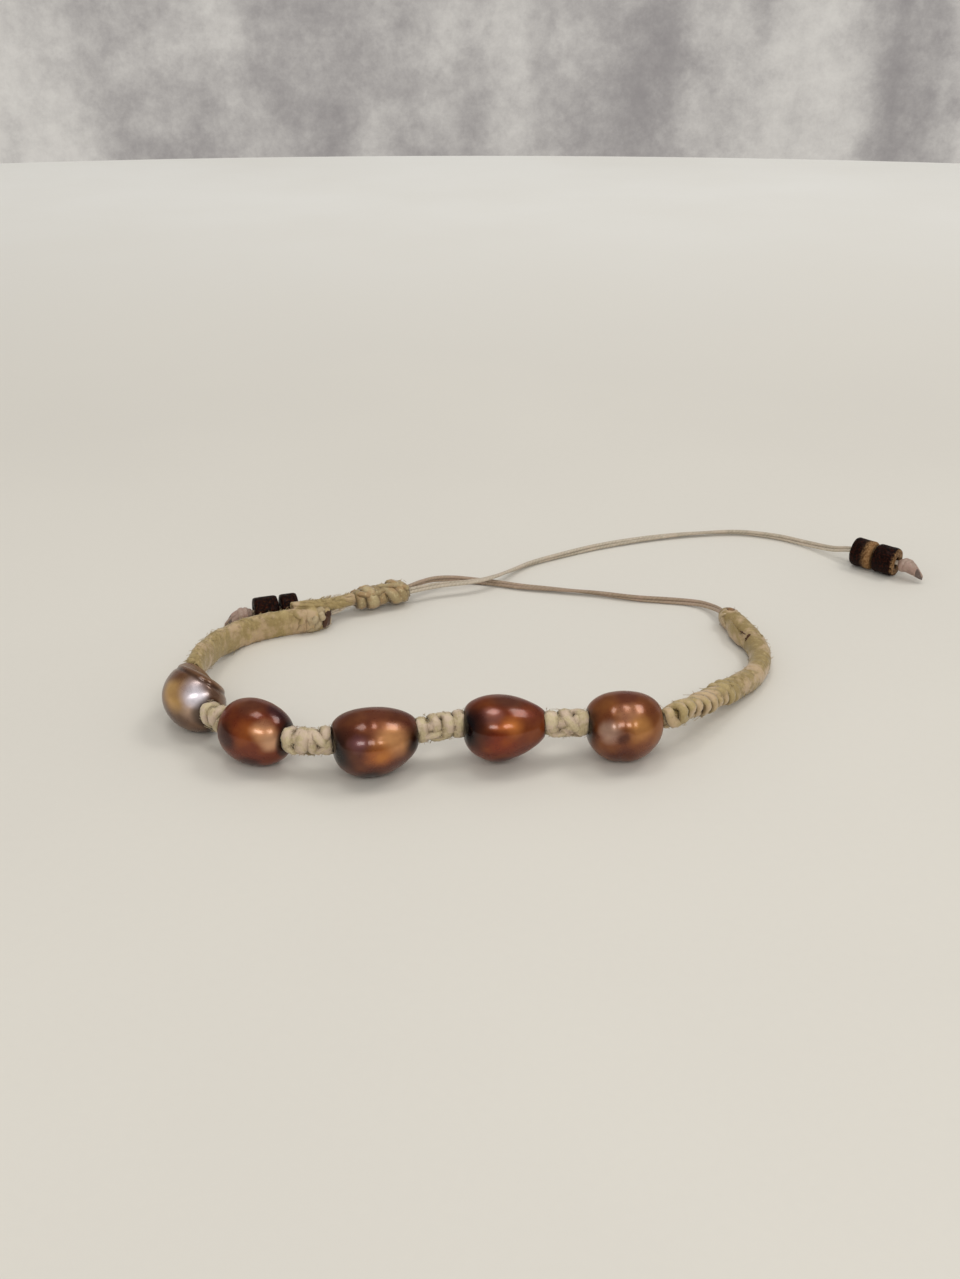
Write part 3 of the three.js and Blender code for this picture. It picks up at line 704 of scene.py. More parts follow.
def pearl_material(name, pearl_middle):
    """Nacre whose colour drifts over the pearl, with painted highlights and painted shade, under a lustrous
    coat.
    """
    _, body_colour, patches = pearl_looks[name]
    bore, _, heading, _, outward, inward, above, below = pearls[name]
    material, tree, shader = new_material(f"{name} nacre")
    centre = pearl_middle + np.array((
        -math.sin(math.radians(heading)) * (inward - outward) / 2,
        math.cos(math.radians(heading)) * (inward - outward) / 2,
        (above - below) / 2,
    ))
    half_size = (bore / 2, (outward + inward) / 2, (above + below) / 2)
    own_frame = {
        "Vector": object_place(tree),
        "Location": tuple(centre * mm),
        "Rotation": (0, 0, math.radians(heading)),
        "Scale": tuple(v * mm for v in half_size),
    }
    place = put(tree, "ShaderNodeMapping", own_frame, vector_type="TEXTURE").outputs[0]
    colour = tint(*body_colour)
    for patch_colour, (right, up), reach in patches:
        placed = place_group(tree, patch, {
            "Below": colour, "Place": place, "Colour": tint(*patch_colour),
            "Spot": patch_spot(pearl_middle, heading, right, up), "Reach": reach})
        colour = placed.outputs["Color"]
    if name == "pearl_1":
        across_flat = (-flat_slope * half_size[0], flat_side[0] * half_size[1], flat_side[1] * half_size[2])
        facing = put(tree, "ShaderNodeVectorMath", {0: place, 1: across_flat}, operation="DOT_PRODUCT")
        off_middle = flat_side[0] * (inward - outward) / 2 + flat_side[1] * (above - below) / 2
        facing = maths(tree, "ADD", facing.outputs["Value"], off_middle)
        past_crease = spread(tree, facing, crease_at - 0.3, crease_at + 0.3)
        colour = mixed(tree, past_crease, colour, tint(128, 92, 66))
        # Painted shade: a dark line along the crease between the dome and the flat back.
        crease = maths(tree, "ABSOLUTE", maths(tree, "SUBTRACT", facing, crease_at))
        colour = mixed(tree, spread(tree, crease, 0.42, 0.05, 0.0, 0.6), colour, tint(58, 34, 24))
    skin = place_group(tree, nacre, {"Colour": colour, "Place": place, "Hole": tint(38, 20, 14)})
    relief = bumped(tree, skin.outputs["Height"], 0.35, 0.08)
    feed(tree, shader, {
        "Base Color": skin.outputs["Color"],
        "Roughness": skin.outputs["Roughness"],
        "Normal": relief,
        "Coat Normal": relief,
        "Metallic": 0.45,
        "Specular IOR Level": 0.05,
        "Coat Weight": 0.28,
        "Coat Roughness": 0.15,
        "Coat IOR": 2.0,
    })
    return material


def section_reach(section, angle, squareness=2.0):
    """How far a section (outward, inward, above, below) reaches from the thread at each angle."""
    outward, inward, above, below = section
    sideways = np.cos(angle)
    upright = np.sin(angle)
    side = np.where(sideways > 0, inward, outward)
    height = np.where(upright > 0, above, below)
    part_across = np.abs(sideways / side) ** squareness
    part_up = np.abs(upright / height) ** squareness
    return (part_across + part_up) ** (-1 / squareness)


def hump(value, middle, width):
    """A smooth rise to one at the middle, and back to nothing."""
    return np.exp(-((value - middle) / width) ** 2)


def pearl_relief(name, along, inward, upward):
    """How far a pearl's skin stands off its smooth form, at places from its middle on the thread."""
    points = np.stack([along, inward, upward], -1).reshape(-1, 3)
    seed = pearl_names.index(name) + 1
    relief = (0.1 * lumps(points, 4.6, seed) + 0.012 * lumps(points, 1.4, seed + 9)).reshape(along.shape)
    if name == "pearl_1":
        facing = inward * flat_side[0] + upward * flat_side[1] - flat_slope * along
        relief += 0.05 * hump(facing, flat_at - 0.35, 0.3) - 0.12 * hump(facing, crease_at, 0.24)
    if name == "pearl_3":
        seam = np.arctan2(upward, -inward) - 0.42
        relief -= 0.05 * hump(seam, 0, 0.05) * hump(along, 1.6, 1.6)
        relief -= 0.07 * hump(along, -0.6, 0.5) * (inward < 0)
    if name == "pearl_4":
        relief += 0.25 * hump(along, -0.9, 1.5) * hump(upward, -4.4, 1.8)
    if name == "pearl_5":
        relief -= 0.24 * hump(along, -0.7, 0.85) * hump(inward, -4.8, 3.2)
        from_dent = np.sqrt((along + 0.75) ** 2 + (upward - 0.1) ** 2)
        relief -= 0.3 * hump(from_dent, 0, 0.75) * (inward < 0)
    return relief


angles = circle(pearl_sides)
for name, (bore, widest_at, _, _, *section) in pearls.items():
    from_end = starts[name]
    reaches = section_reach(section, angles)
    lean = math.log(0.5) / math.log(widest_at)
    shares = (1 - np.cos(np.pi * np.arange(pearl_rows + 1) / pearl_rows)) / 2
    rings = []
    swells = []
    for share in shares:
        swell = math.sqrt(max(0, 1 - (2 * share ** lean - 1) ** 2))
        swells.append(swell)
        pointed, tip = pearl_ends[name][0 if share < widest_at else 1]
        rim = tip / (sum(section) / 4 - bore_radius)
        reach = bore_radius + (reaches - bore_radius) * (rim + (1 - rim) * swell ** pointed)
        if name == "pearl_1":
            tilted = np.maximum(np.cos(angles - flat_lean), 0.05)
            flat_reach = max(1.2, flat_at + flat_slope * (share - 0.5) * bore) / tilted
            reach = (reach ** -9 + flat_reach ** -9) ** (-1 / 9)
        rings.append(loop.around(np.full(pearl_sides, from_end + share * bore), reach, angles))
    skin = np.array(rings)
    thread_place, towards_wrist = loop.at(from_end + shares * bore)
    reach_out = skin - thread_place[:, None]
    facing_out = unit(np.cross(np.roll(skin, -1, 1) - np.roll(skin, 1, 1), np.gradient(skin, axis=0)))
    facing_out *= np.sign(np.sum(facing_out[pearl_rows // 2, 0] * reach_out[pearl_rows // 2, 0]))
    relief = pearl_relief(
        name, np.repeat((shares - 0.5)[:, None] * bore, pearl_sides, 1),
        np.sum(reach_out * towards_wrist[:, None], axis=-1), reach_out[..., 2])
    eased = np.minimum(1, np.array(swells) * 1.6)[:, None] ** 2
    skin = skin + facing_out * (relief * eased)[..., None]
    skin[..., 2] = np.maximum(skin[..., 2], 0.0)
    rings = list(skin)
    runs = list(shares * bore)
    hole = [(bore - 0.1, 0.86), (bore - 0.25, 0.74), (bore - 0.6, bore_radius), (bore / 2, bore_radius),
            (0.6, bore_radius), (0.25, 0.74), (0.1, 0.86)]
    for at, radius in hole:
        rings.append(loop.around(np.full(pearl_sides, from_end + at), radius, angles))
        runs.append(at)
    body = Strands()
    body.rings(rings, runs, True)
    piece = body.build(f"{name}_nacre", [pearl_material(name, loop.at(from_end + bore / 2)[0])])
    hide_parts(name)


# The knots between the pearls: square knots, tied with a second pair of waxed threads round the core pair
# and drawn tight. One thread crosses the outer face and the other the inner face, and they lock over each
# other's turns at the upper and lower edges.
link_width = 3.4
link_thickness = 2.7
snug = 0.4
knot_finish = thread_material(
    "khaki knotting thread", (222, 206, 168), (140, 118, 78), (208, 184, 166),
    plies=0.03, fibres=1.0, wax_size=1.3)
# The core is coloured darker than the thread, as painted shade in the gaps between the knots' strands.
shaded_core_finish = thread_material(
    "knot core in painted shade", (150, 130, 92), (84, 66, 42), (128, 108, 72), fibres=0.8)
outer_paint = 0
core_paint = 1


class KnotRun:
    """A run of knots round a thread's way: a filled core, and working strands laid over it."""

    ribs = 8
    uneven = 0.05

    def __init__(self, way, start, length, section_at, squareness, thick, turned=0.0):
        self.way = way
        self.start = start
        self.length = length
        self.section_at = section_at
        self.squareness = squareness
        self.thick = thick
        self.turned = turned
        self.parts = Strands()

    def skin(self, along, angle, depth):
        """Places at a depth under the run's skin, and the skin's outward directions there."""
        section = self.section_at(along)
        reach = section_reach(section, angle, self.squareness)
        outward, inward, above, below = section
        side = np.where(np.cos(angle) > 0, inward, outward)
        height = np.where(np.sin(angle) > 0, above, below)
        power = self.squareness - 1
        lean_side = np.sign(np.cos(angle)) * np.abs(reach * np.cos(angle) / side) ** power / side
        lean_up = np.sign(np.sin(angle)) * np.abs(reach * np.sin(angle) / height) ** power / height
        _, towards_wrist = self.way.at(along)
        out = unit(towards_wrist * lean_side[..., None] + np.array((0, 0, 1.0)) * lean_up[..., None])
        place = self.way.around(along, reach, angle) - out * np.asarray(depth, float)[..., None]
        place[..., 2] = np.maximum(place[..., 2], 0.12)
        return place, out

    def lay(self, along, angle, lift, width, tone, paint=outer_paint, margin=0.3, groove_shade=0.8):
        """One working strand, laid on the skin along the given distances and angles."""
        along = np.clip(along, self.start + margin, self.start + self.length - margin)
        place, out = self.skin(along, angle, self.thick / 2 - np.asarray(lift, float))
        self.parts.strand(
            place, out, width, self.thick, tone, paint, sides=26, ribs=self.ribs, uneven=self.uneven,
            groove_shade=groove_shade)

    def fill(self, share_at, seed, bore=0.6, bore_stretch=1.0, roughness=0.05, lump_size=0.8,
             paint=core_paint, tone=0.35):
        """The core, filled up to a share of the working strands' thickness, with its bore left open."""
        sides = 48
        around = circle(sides)
        end_gap = 0.12
        stops = np.linspace(
            self.start + end_gap, self.start + self.length - end_gap, round(self.length / 0.2) + 2)
        rings = []
        for i, stop in enumerate(stops):
            depth = self.thick * (1 - share_at(stop)) + 0.05
            if i in (0, len(stops) - 1):
                depth += 0.3
            place, out = self.skin(np.full(sides, stop), around, np.full(sides, depth))
            uneven = lumps(place, lump_size, seed) + 0.35 * lumps(place, lump_size / 3, seed + 1)
            rings.append(place + out * (roughness * uneven)[:, None])
        oval = bore * np.hypot(np.cos(around) * bore_stretch, np.sin(around))
        oval_angle = np.arctan2(np.sin(around), np.cos(around) * bore_stretch)
        rings += [self.way.around(np.full(sides, stop), oval, oval_angle) for stop in stops[::-1]]
        self.parts.rings(rings, [*stops, *stops[::-1]], True, tone, paint)

    def square_knots(self, bars, slants, seed, amount=0.2, groove_shade=0.8):
        """Alternate half knots: each bar crosses a face, dives at its far edge and turns back for the next.
        Slants are how far each bar leans along the run, and amount is how deep it dives."""
        pitch = self.length / bars
        broad = 1.02 * pitch
        over = 0.5 * pitch / 1.3
        sweep = np.linspace(-1, 1, 19)
        turn = np.linspace(0, 1, 13)[1:-1]
        for face, middle_angle in ((0, math.pi), (1, 0.0)):
            along = []
            angle = []
            lift = []
            width = []
            for k in range(bars):
                towards = 1 if k % 2 == 0 else -1
                place = self.start + (k + 0.5) * pitch
                slant = slants[k % len(slants)] * (1 if face == 0 else -1)
                along.append(place + slant * np.sin(sweep * math.pi / 2) * towards)
                angle.append(middle_angle + towards * sweep * math.pi / 2)
                lift.append(-amount * sweep + 0.08 * math.sin(k * 2.4 + seed + face) - 0.05)
                width.append(broad * (1 - 0.16 * sweep ** 2))
                if k < bars - 1:
                    along.append(place + pitch * (1 - np.cos(math.pi * turn)) / 2)
                    angle.append(middle_angle + towards * (math.pi / 2 + over * np.sin(math.pi * turn)))
                    lift.append(-amount + 2 * amount * turn - 0.05)
                    width.append(np.full(len(turn), broad * 0.84))
            along, angle, lift, width = (np.concatenate(v) for v in (along, angle, lift, width))
            lift[:2] -= 0.3 * self.thick
            lift[-2:] -= 0.3 * self.thick
            tone = 0.5 + 0.2 * math.sin(seed + 3 * face)
            self.lay(along, angle + self.turned, lift, width, tone, margin=pitch * 0.4, groove_shade=groove_shade)

    def fuzz(self, count, longest, seed, middles=None):
        """Short bent loose fibres that stand off the skin. Middles are the angles they gather round."""
        chance = np.random.default_rng(seed)
        steps = np.linspace(0, 1, 6)
        for _ in range(count):
            along = chance.uniform(self.start, self.start + self.length)
            along = along + chance.uniform(-1, 1) * longest * steps
            if middles is None:
                angle = chance.uniform(0, 2 * math.pi)
            else:
                angle = chance.normal(chance.choice(middles), 0.4)
            angle = angle + chance.uniform(-0.5, 0.5) * steps
            rise = chance.uniform(0.1, 0.5) * longest
            place, out = self.skin(along, angle, 0.05 - rise * steps ** 1.5)
            self.parts.hair(place, out)

    def piece(self, node, finishes):
        """Makes the whole run into the piece that stands for this part."""
        made = self.parts.build(f"{node}_strands", finishes)
        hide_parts(node)


def link_section(along):
    """The same section all along a link: outward, inward, above, below."""
    halves = (link_thickness / 2, link_thickness / 2, link_width / 2, link_width / 2)
    return tuple(np.full_like(along, half) for half in halves)


link_looks = {
    # bars, turned about the thread in radians, slants of the bars in mm
    "knot_1": (2, 0.25, (0.3, -0.1)),
    "knot_2": (4, 0.45, (0.08, -0.05, 0.12)),
    "knot_3": (4, 0.4, (0.04, 0.06, -0.08)),
    "knot_4": (3, 0.35, (0.02, 0.2, -0.15)),
}
link_crossings = {
    # the turns that lie on top of the outer face: from and to along in shares, from and to angle in half
    # turns, lift, width and tone
    "knot_1": ((0.2, 0.34, 0.5, 1.2, 0.2, 1.2, 0.9), (0.62, 0.55, 0.55, 1.15, 0.14, 1.1, 0.6)),
    "knot_2": (
        (0.1, 0.16, 0.45, 1.05, 0.12, 1.15, 1.0), (0.14, 0.3, 1.08, 1.34, 0.16, 0.8, 0.9),
        (0.5, 0.42, 0.5, 1.25, 0.2, 1.35, 0.7), (0.64, 0.86, 0.56, 0.98, 0.26, 0.9, 0.9),
        (0.66, 0.95, 1.26, 1.05, 0.12, 0.8, 0.5)),
    "knot_3": (
        (0.1, 0.06, 0.5, 1.0, 0.12, 1.0, 0.9), (0.08, 0.5, 1.12, 1.06, 0.2, 0.75, 1.0),
        (0.36, 0.42, 0.5, 1.02, 0.14, 1.0, 0.5), (0.62, 0.7, 0.48, 1.1, 0.24, 1.05, 0.9),
        (0.92, 0.88, 0.5, 1.16, 0.1, 1.0, 0.7), (0.3, 0.6, 1.26, 1.3, 0.1, 0.7, 0.6)),
    "knot_4": (
        (0.16, 0.12, 0.5, 1.1, 0.2, 1.4, 1.0), (0.4, 0.78, 0.6, 1.1, 0.26, 1.0, 0.8),
        (0.46, 0.8, 1.12, 0.62, 0.14, 0.95, 0.6), (0.1, 0.46, 1.28, 1.22, 0.14, 0.85, 0.9),
        (0.92, 0.9, 0.5, 1.2, 0.1, 0.9, 0.5)),
}
across = np.linspace(0, 1, 20)
for seed, (name, (length, _)) in enumerate(links.items()):
    bars, turned, slants = link_looks[name]
    run = KnotRun(loop, starts[name] - snug, length + 2 * snug, link_section, 2.4, 0.75, turned)
    run.fill(lambda along: 0.5, seed)
    run.square_knots(bars, slants, seed)
    for from_along, to_along, from_angle, to_angle, lift, width, tone in link_crossings[name]:
        run.lay(
            run.start + run.length * between(from_along, to_along, across),
            math.pi * between(from_angle, to_angle, across),
            lift - 0.45 * (2 * across - 1) ** 4,
            1.28 * width * (1 - 0.2 * (2 * across - 1) ** 2), tone, groove_shade=0.5)
    run.fuzz(110, 0.5, seed)
    run.piece(name, [knot_finish, shaded_core_finish])


# The bands: long runs of the same knotting, in the thread's olive colour, waxed and rubbed smooth by wear.
# Both are tied off by melting the cut thread ends, which leaves pale, brown and black grains.
band_finish = thread_material(
    "olive band thread", (204, 182, 130), (138, 116, 68), (198, 170, 138), wax_size=3.0)
scorched = thread_material("scorched thread end", (112, 68, 32), (46, 24, 12), (80, 46, 22))
melted = thread_material(
    "melted thread end", (212, 196, 160), (150, 128, 92), (184, 160, 122), fibres=0.4)
singed = thread_material(
    "singed thread end", (164, 124, 84), (110, 76, 46), (140, 104, 66), fibres=0.5)
band_finishes = [band_finish, shaded_core_finish, scorched, melted, singed]
scorch_and_slit_shade_paint = 2
melted_paint = 3
singed_paint = 4


def banded_section(table, start, length, width, thickness):
    """A section that changes along a band, from a table of shares of its length, thickness and width."""
    along_shares, *columns = (np.array(column) for column in zip(*table))
    sizes = (thickness, thickness, width, width)

    def section_at(along):
        share = np.clip((np.asarray(along, float) - start) / length, 0, 1)
        return tuple(np.interp(share, along_shares, column) * size for column, size in zip(columns, sizes))

    return section_at


# The left band is flat, and its square knots are pulled so tight that it looks like felt with fuzzy edges.
# At the loop's start its working threads run on, loose, to the sliding knot.
left_band_sections = [
    # along, outward, inward, above, below
    (0.0, 0.3, 0.4, 0.24, 0.34), (0.015, 0.44, 0.62, 0.38, 0.45), (0.05, 0.52, 0.85, 0.47, 0.5),
    (0.1, 0.55, 0.95, 0.5, 0.5), (0.2, 0.5, 0.55, 0.5, 0.5), (0.85, 0.5, 0.5, 0.5, 0.5),
    (1.0, 0.6, 0.6, 0.4, 0.4),
]
left = KnotRun(
    loop, 0.0, left_band_length,
    banded_section(left_band_sections, 0.0, left_band_length, left_band_width, left_band_thickness),
    2.8, 0.6)
left.fill(
    lambda along: np.interp(along, (0, 1.5, 4.5, 7, 27, 28.7), (0.6, 0.8, 0.92, 1.06, 1.14, 0.9)),
    21, roughness=0.07, lump_size=1.3, paint=outer_paint)
left.square_knots(15, (0.05, 0.12, -0.04, 0.08), 5, amount=0.05, groove_shade=0.12)
left_grains = (
    # the melted ends and last turns: from and to along, from and to angle, lift, width, tone, paint
    (0.5, 1.0, 0.9, -0.9, 0.16, 1.1, 0.3, scorch_and_slit_shade_paint),
    (0.9, 1.3, 0.2, -0.7, 0.3, 0.7, 0.2, scorch_and_slit_shade_paint),
    (1.7, 1.5, 0.75, 0.1, 0.34, 0.8, 0.9, melted_paint),
    (2.4, 3.1, 0.45, 0.0, 0.3, 0.85, 0.8, melted_paint),
    (3.4, 3.1, 0.6, -0.2, 0.22, 0.75, 0.6, melted_paint),
    (1.9, 2.7, -0.1, -0.5, 0.26, 0.75, 0.7, melted_paint),
    (2.9, 3.6, -0.45, -0.75, 0.16, 0.7, 0.5, melted_paint),
    (4.1, 4.5, 0.5, 0.0, 0.14, 0.8, 0.7, outer_paint),
    (4.3, 4.9, -0.3, -0.8, 0.1, 0.8, 0.4, outer_paint),
    (1.1, 2.1, 1.0, 0.8, 0.2, 0.8, 0.5, melted_paint),
)
short_way = np.linspace(0, 1, 24)
for from_along, to_along, from_angle, to_angle, lift, width, tone, paint in left_grains:
    left.lay(
        between(from_along, to_along, short_way), between(from_angle, to_angle, short_way),
        lift - 0.3 * (2 * short_way - 1) ** 4, width * 1.2, tone, paint, groove_shade=0.6)
left.fuzz(420, 0.9, 5, middles=(math.pi / 2, -math.pi / 2))
left.fuzz(160, 0.4, 6)
loose_strands = 7
loose_heading = 0.6
loose_way = smooth_route(
    [(-26.2, 15.2, 3.3), (-24.2, 15.6, 3.4), (-21.8, 17.0, 3.1), (-20.0, 18.7, 2.6), (-18.2, 20.5, 2.2)],
    0.25)
loose_run = run_along(loose_way)
for k in range(loose_strands):
    turn = 2 * math.pi * k / loose_strands + loose_run * 0.3
    sideways = np.stack([
        -math.sin(loose_heading) * np.cos(turn), math.cos(loose_heading) * np.cos(turn), np.sin(turn)], -1)
    spread_out = 0.6 + 0.08 * np.sin(loose_run * 0.9 + k)
    left.parts.strand(
        loose_way + sideways * spread_out[:, None], sideways, 0.85, 0.6, sides=20, uneven=0.06, groove_shade=0.15)
loose_fibres = 420
chance = np.random.default_rng(12)
for _ in range(loose_fibres):
    i = chance.integers(0, len(loose_way) - 6)
    out = unit(chance.normal(size=3))
    steps = np.linspace(0, 1, 6)[:, None]
    left.parts.hair(
        loose_way[i] + out * 0.7 + (loose_way[i + 5] - loose_way[i]) * steps + out * 0.5 * steps ** 1.5,
        (0, 0.1, 1))
left.piece("left_band", band_finishes[:4])

# The right band is tied with half knots all one way, so its bars wind round it. They stand open near the
# pearls and close up to a smooth skin, with a bowed strand and two slits near the far end. The slits are
# drawn as thin dark strands, as painted shade.
right_band_sections = [
    (0.0, 0.44, 0.44, 0.44, 0.44), (0.06, 0.5, 0.5, 0.5, 0.5), (0.6, 0.5, 0.5, 0.5, 0.5),
    (0.8, 0.48, 0.58, 0.5, 0.5), (0.97, 0.48, 0.54, 0.48, 0.5), (1.0, 0.36, 0.4, 0.36, 0.42),
]
right_start = starts["right_band"]
right_end = right_start + right_band_length
right_bars = 25
right_pitch = right_band_length / right_bars
right = KnotRun(
    loop, right_start - snug, right_band_length + snug,
    banded_section(
        right_band_sections, right_start, right_band_length, right_band_width, right_band_thickness),
    2.3, 0.75)
right.fill(
    lambda along: np.interp(
        (along - right_start) / right_band_length, (0, 0.26, 0.36, 0.95, 1), (0.25, 0.35, 1.02, 1.05, 0.8)),
    33, roughness=0.06, lump_size=1.3, paint=outer_paint, tone=0.05)
half_turns = np.linspace(-0.2, right_bars + 0.5, right_bars * 18)
way_along = half_turns / right_bars
for pair_turn in (0, math.pi):
    wound = math.pi * half_turns + pair_turn
    along = right_start + right_pitch * (half_turns + 0.25 - 0.2 * np.sin(2 * wound))
    angle = 2.1 + wound + 0.2 * half_turns
    relief = np.interp(way_along, (0, 0.06, 0.28, 0.38, 1), (0.15, 0.44, 0.42, 0.05, 0.03))
    lift = relief * (np.abs(np.cos(wound)) ** 6 - 0.3 + 0.35 * np.sin(1.7 * half_turns))
    broad = right_pitch * np.interp(way_along, (0, 0.28, 0.38, 1), (0.86, 0.88, 1.04, 1.04))
    # Painted shade between the bars, deepest where they stand open.
    groove_shade = np.interp(way_along, (0, 0.06, 0.1, 0.28, 0.4, 1), (0.25, 0.4, 0.8, 0.75, 0.15, 0.05))
    tone = np.interp(way_along, (0, 0.28, 0.42, 1), (0.8, 0.7, 0.2, 0.0)) + 0.1 * math.cos(pair_turn)
    right.lay(along, angle, lift, broad, tone, margin=0.55, groove_shade=groove_shade)
bow = np.linspace(0, 1, 30)
arched = np.sin(math.pi * bow)
tapered = (2 * bow - 1) ** 4
right.lay(
    right_end - 9.4 + 7.2 * bow, -0.1 + 0.3 * bow, 0.7 * arched - 0.12, 1.2 + 0.9 * arched, 0.35,
    groove_shade=0.4)
# Two thin dark strands stand for the two slits: painted shade.
right.lay(
    right_end - 8.0 + 0.8 * bow, 0.72 - 0.1 * bow, 0.3 - 0.2 * tapered, 0.24, 0.6, scorch_and_slit_shade_paint, groove_shade=0)
right.lay(
    right_end - 9.4 + 0.2 * bow, 0.5 + 0.42 * bow, 0.28 - 0.2 * tapered, 0.22, 0.6, scorch_and_slit_shade_paint,
    groove_shade=0)
right.lay(right_end - 2.6 + 1.5 * bow, -0.1 + 0.5 * bow, 0.25 - 0.1 * bow, 0.6, 0.9, melted_paint)
right.lay(right_end - 1.5 + 0.7 * bow, 0.7 - 0.6 * bow, 0.25, 0.55, 0.9, melted_paint)
right.lay(right_end - 1.3 + 1.2 * bow, 1.5 + 0.5 * bow, 0.2 - 0.2 * bow, 1.3, 0.8, singed_paint)
right.fuzz(260, 0.8, 8)
right.piece("right_band", band_finishes)


# The sliding knot: broad turns of doubled satin thread, tied over both free ends of the loop.
# It holds by friction, and slides when both ends are drawn.
sliding_length = 8.5
sliding_width = 3.7
sliding_height = 3.0
sliding_heading = 25
sliding_bore_height = 2.0
sliding_middle = np.array((-14.5, 22.3))


def level_direction(heading):
    """The level direction of a heading."""
    return np.array((math.cos(math.radians(heading)), math.sin(math.radians(heading))))


sliding_way = Way(
    sliding_middle - sliding_length / 2 * level_direction(sliding_heading),
    [(0, sliding_heading, sliding_bore_height), (sliding_length, sliding_heading, sliding_bore_height)])
sliding_finish = thread_material(
    "satin knotting thread", (226, 210, 164), (122, 96, 54), (168, 134, 92),
    wax_size=1.4, roughness=0.46)


def sliding_section(along):
    """Slimmer at its ends and between its two halves, and fullest in the second one."""
    swell = np.interp(along, (0, 1.2, 3.6, 4.6, 6.4, 8.5), (0.86, 1.0, 0.96, 0.9, 1.06, 0.84))
    half_width = swell * sliding_width / 2
    half_height = swell * sliding_height / 2
    return half_width, half_width, half_height, half_height


sliding = KnotRun(sliding_way, 0.0, sliding_length, sliding_section, 2.2, 0.85)
sliding.fill(lambda along: 0.75, 41, bore=0.75, bore_stretch=1.9)
round_once = np.linspace(0, 1, 64)
tucked = 1 - np.clip(np.minimum(round_once, 1 - round_once) / 0.06, 0, 1)
sliding_turns = (
    # where each turn crosses the top and the bottom, lift, width, tone
    (0.8, 1.0, -0.05, 1.5, 0.35), (3.5, 4.2, 0.0, 1.9, 0.25), (2.2, 2.8, 0.22, 2.0, 0.8),
    (4.6, 6.6, 0.12, 1.9, 0.55), (6.3, 7.6, 0.24, 1.5, 0.35), (7.5, 7.8, 0.02, 1.3, 0.6),
)
for top, bottom, lift, width, tone in sliding_turns:
    sliding.lay(
        between(top, bottom, (1 - np.cos(2 * math.pi * round_once)) / 2),
        math.pi * (0.35 + 2 * round_once), lift - 0.5 * sliding.thick * tucked, width, tone)
over_top = np.linspace(0, 1, 30)
sliding.lay(0.8 + 3.6 * over_top, 2.2 + 0.35 * np.sin(math.pi * over_top), 0.3 - 0.1 * over_top, 1.0, 0.3)
sliding.lay(4.2 + 3.8 * over_top, 1.6 + 0.9 * over_top, 0.3, 1.1, 0.5)
sliding.fuzz(80, 0.6, 3)
sliding.piece("sliding_knot", [sliding_finish, shaded_core_finish])


# The end beads: two short tubes turned from dark nut wood on each tail, drilled through and lightly
# polished, with open grain and a pale part where the shell runs out. They keep the tails from slipping
# back through the sliding knot.
bead_diameter = 4.4
bead_chamfer = 0.4
bead_sides = 56
tail_stub = 0.3
bead_lengths = {"long_tail": (3.4, 3.4), "short_tail": (2.5, 3.5)}


def wood_material(name, tan_from, tan_to, tan_share, speckle):
    """Dark polished wood with fine open grain, pale past a distance along the bead, and flecked."""
    material, tree, shader = new_material(name)
    way = put(tree, "ShaderNodeUVMap", uv_map="strand").outputs[0]
    along = put(tree, "ShaderNodeSeparateXYZ", {0: way}).outputs[0]
    where = object_place(tree, 1000.0)
    grain = clouds(tree, where, 3.4, 7.0, 0.75)
    flecks = put(tree, "ShaderNodeTexVoronoi", {"Vector": where, "Scale": 3.6}).outputs["Distance"]
    dark = mixed(tree, spread(tree, grain, 0.42, 0.72), tint(8, 1, 0), tint(62, 22, 8))
    flecked = mixed(tree, spread(tree, flecks, 0.26, 0.04, 0.0, speckle), dark, tint(132, 78, 36))
    edge = maths(tree, "MULTIPLY_ADD", grain, 1.4, maths(tree, "SUBTRACT", along, 0.7))
    pale = spread(tree, edge, tan_from, tan_to, 0.0, tan_share)
    tan = mixed(tree, spread(tree, grain, 0.35, 0.65), tint(120, 80, 44), tint(170, 134, 92))
    feed(tree, shader, {
        "Base Color": mixed(tree, pale, flecked, tan),
        "Roughness": spread(tree, grain, 0.3, 0.7, 0.4, 0.6),
        "Normal": bumped(tree, grain, 0.8, 0.2),
        "Specular IOR Level": 0.08,
        "Coat Weight": 0.03,
        "Coat Roughness": 0.2,
    })
    return material


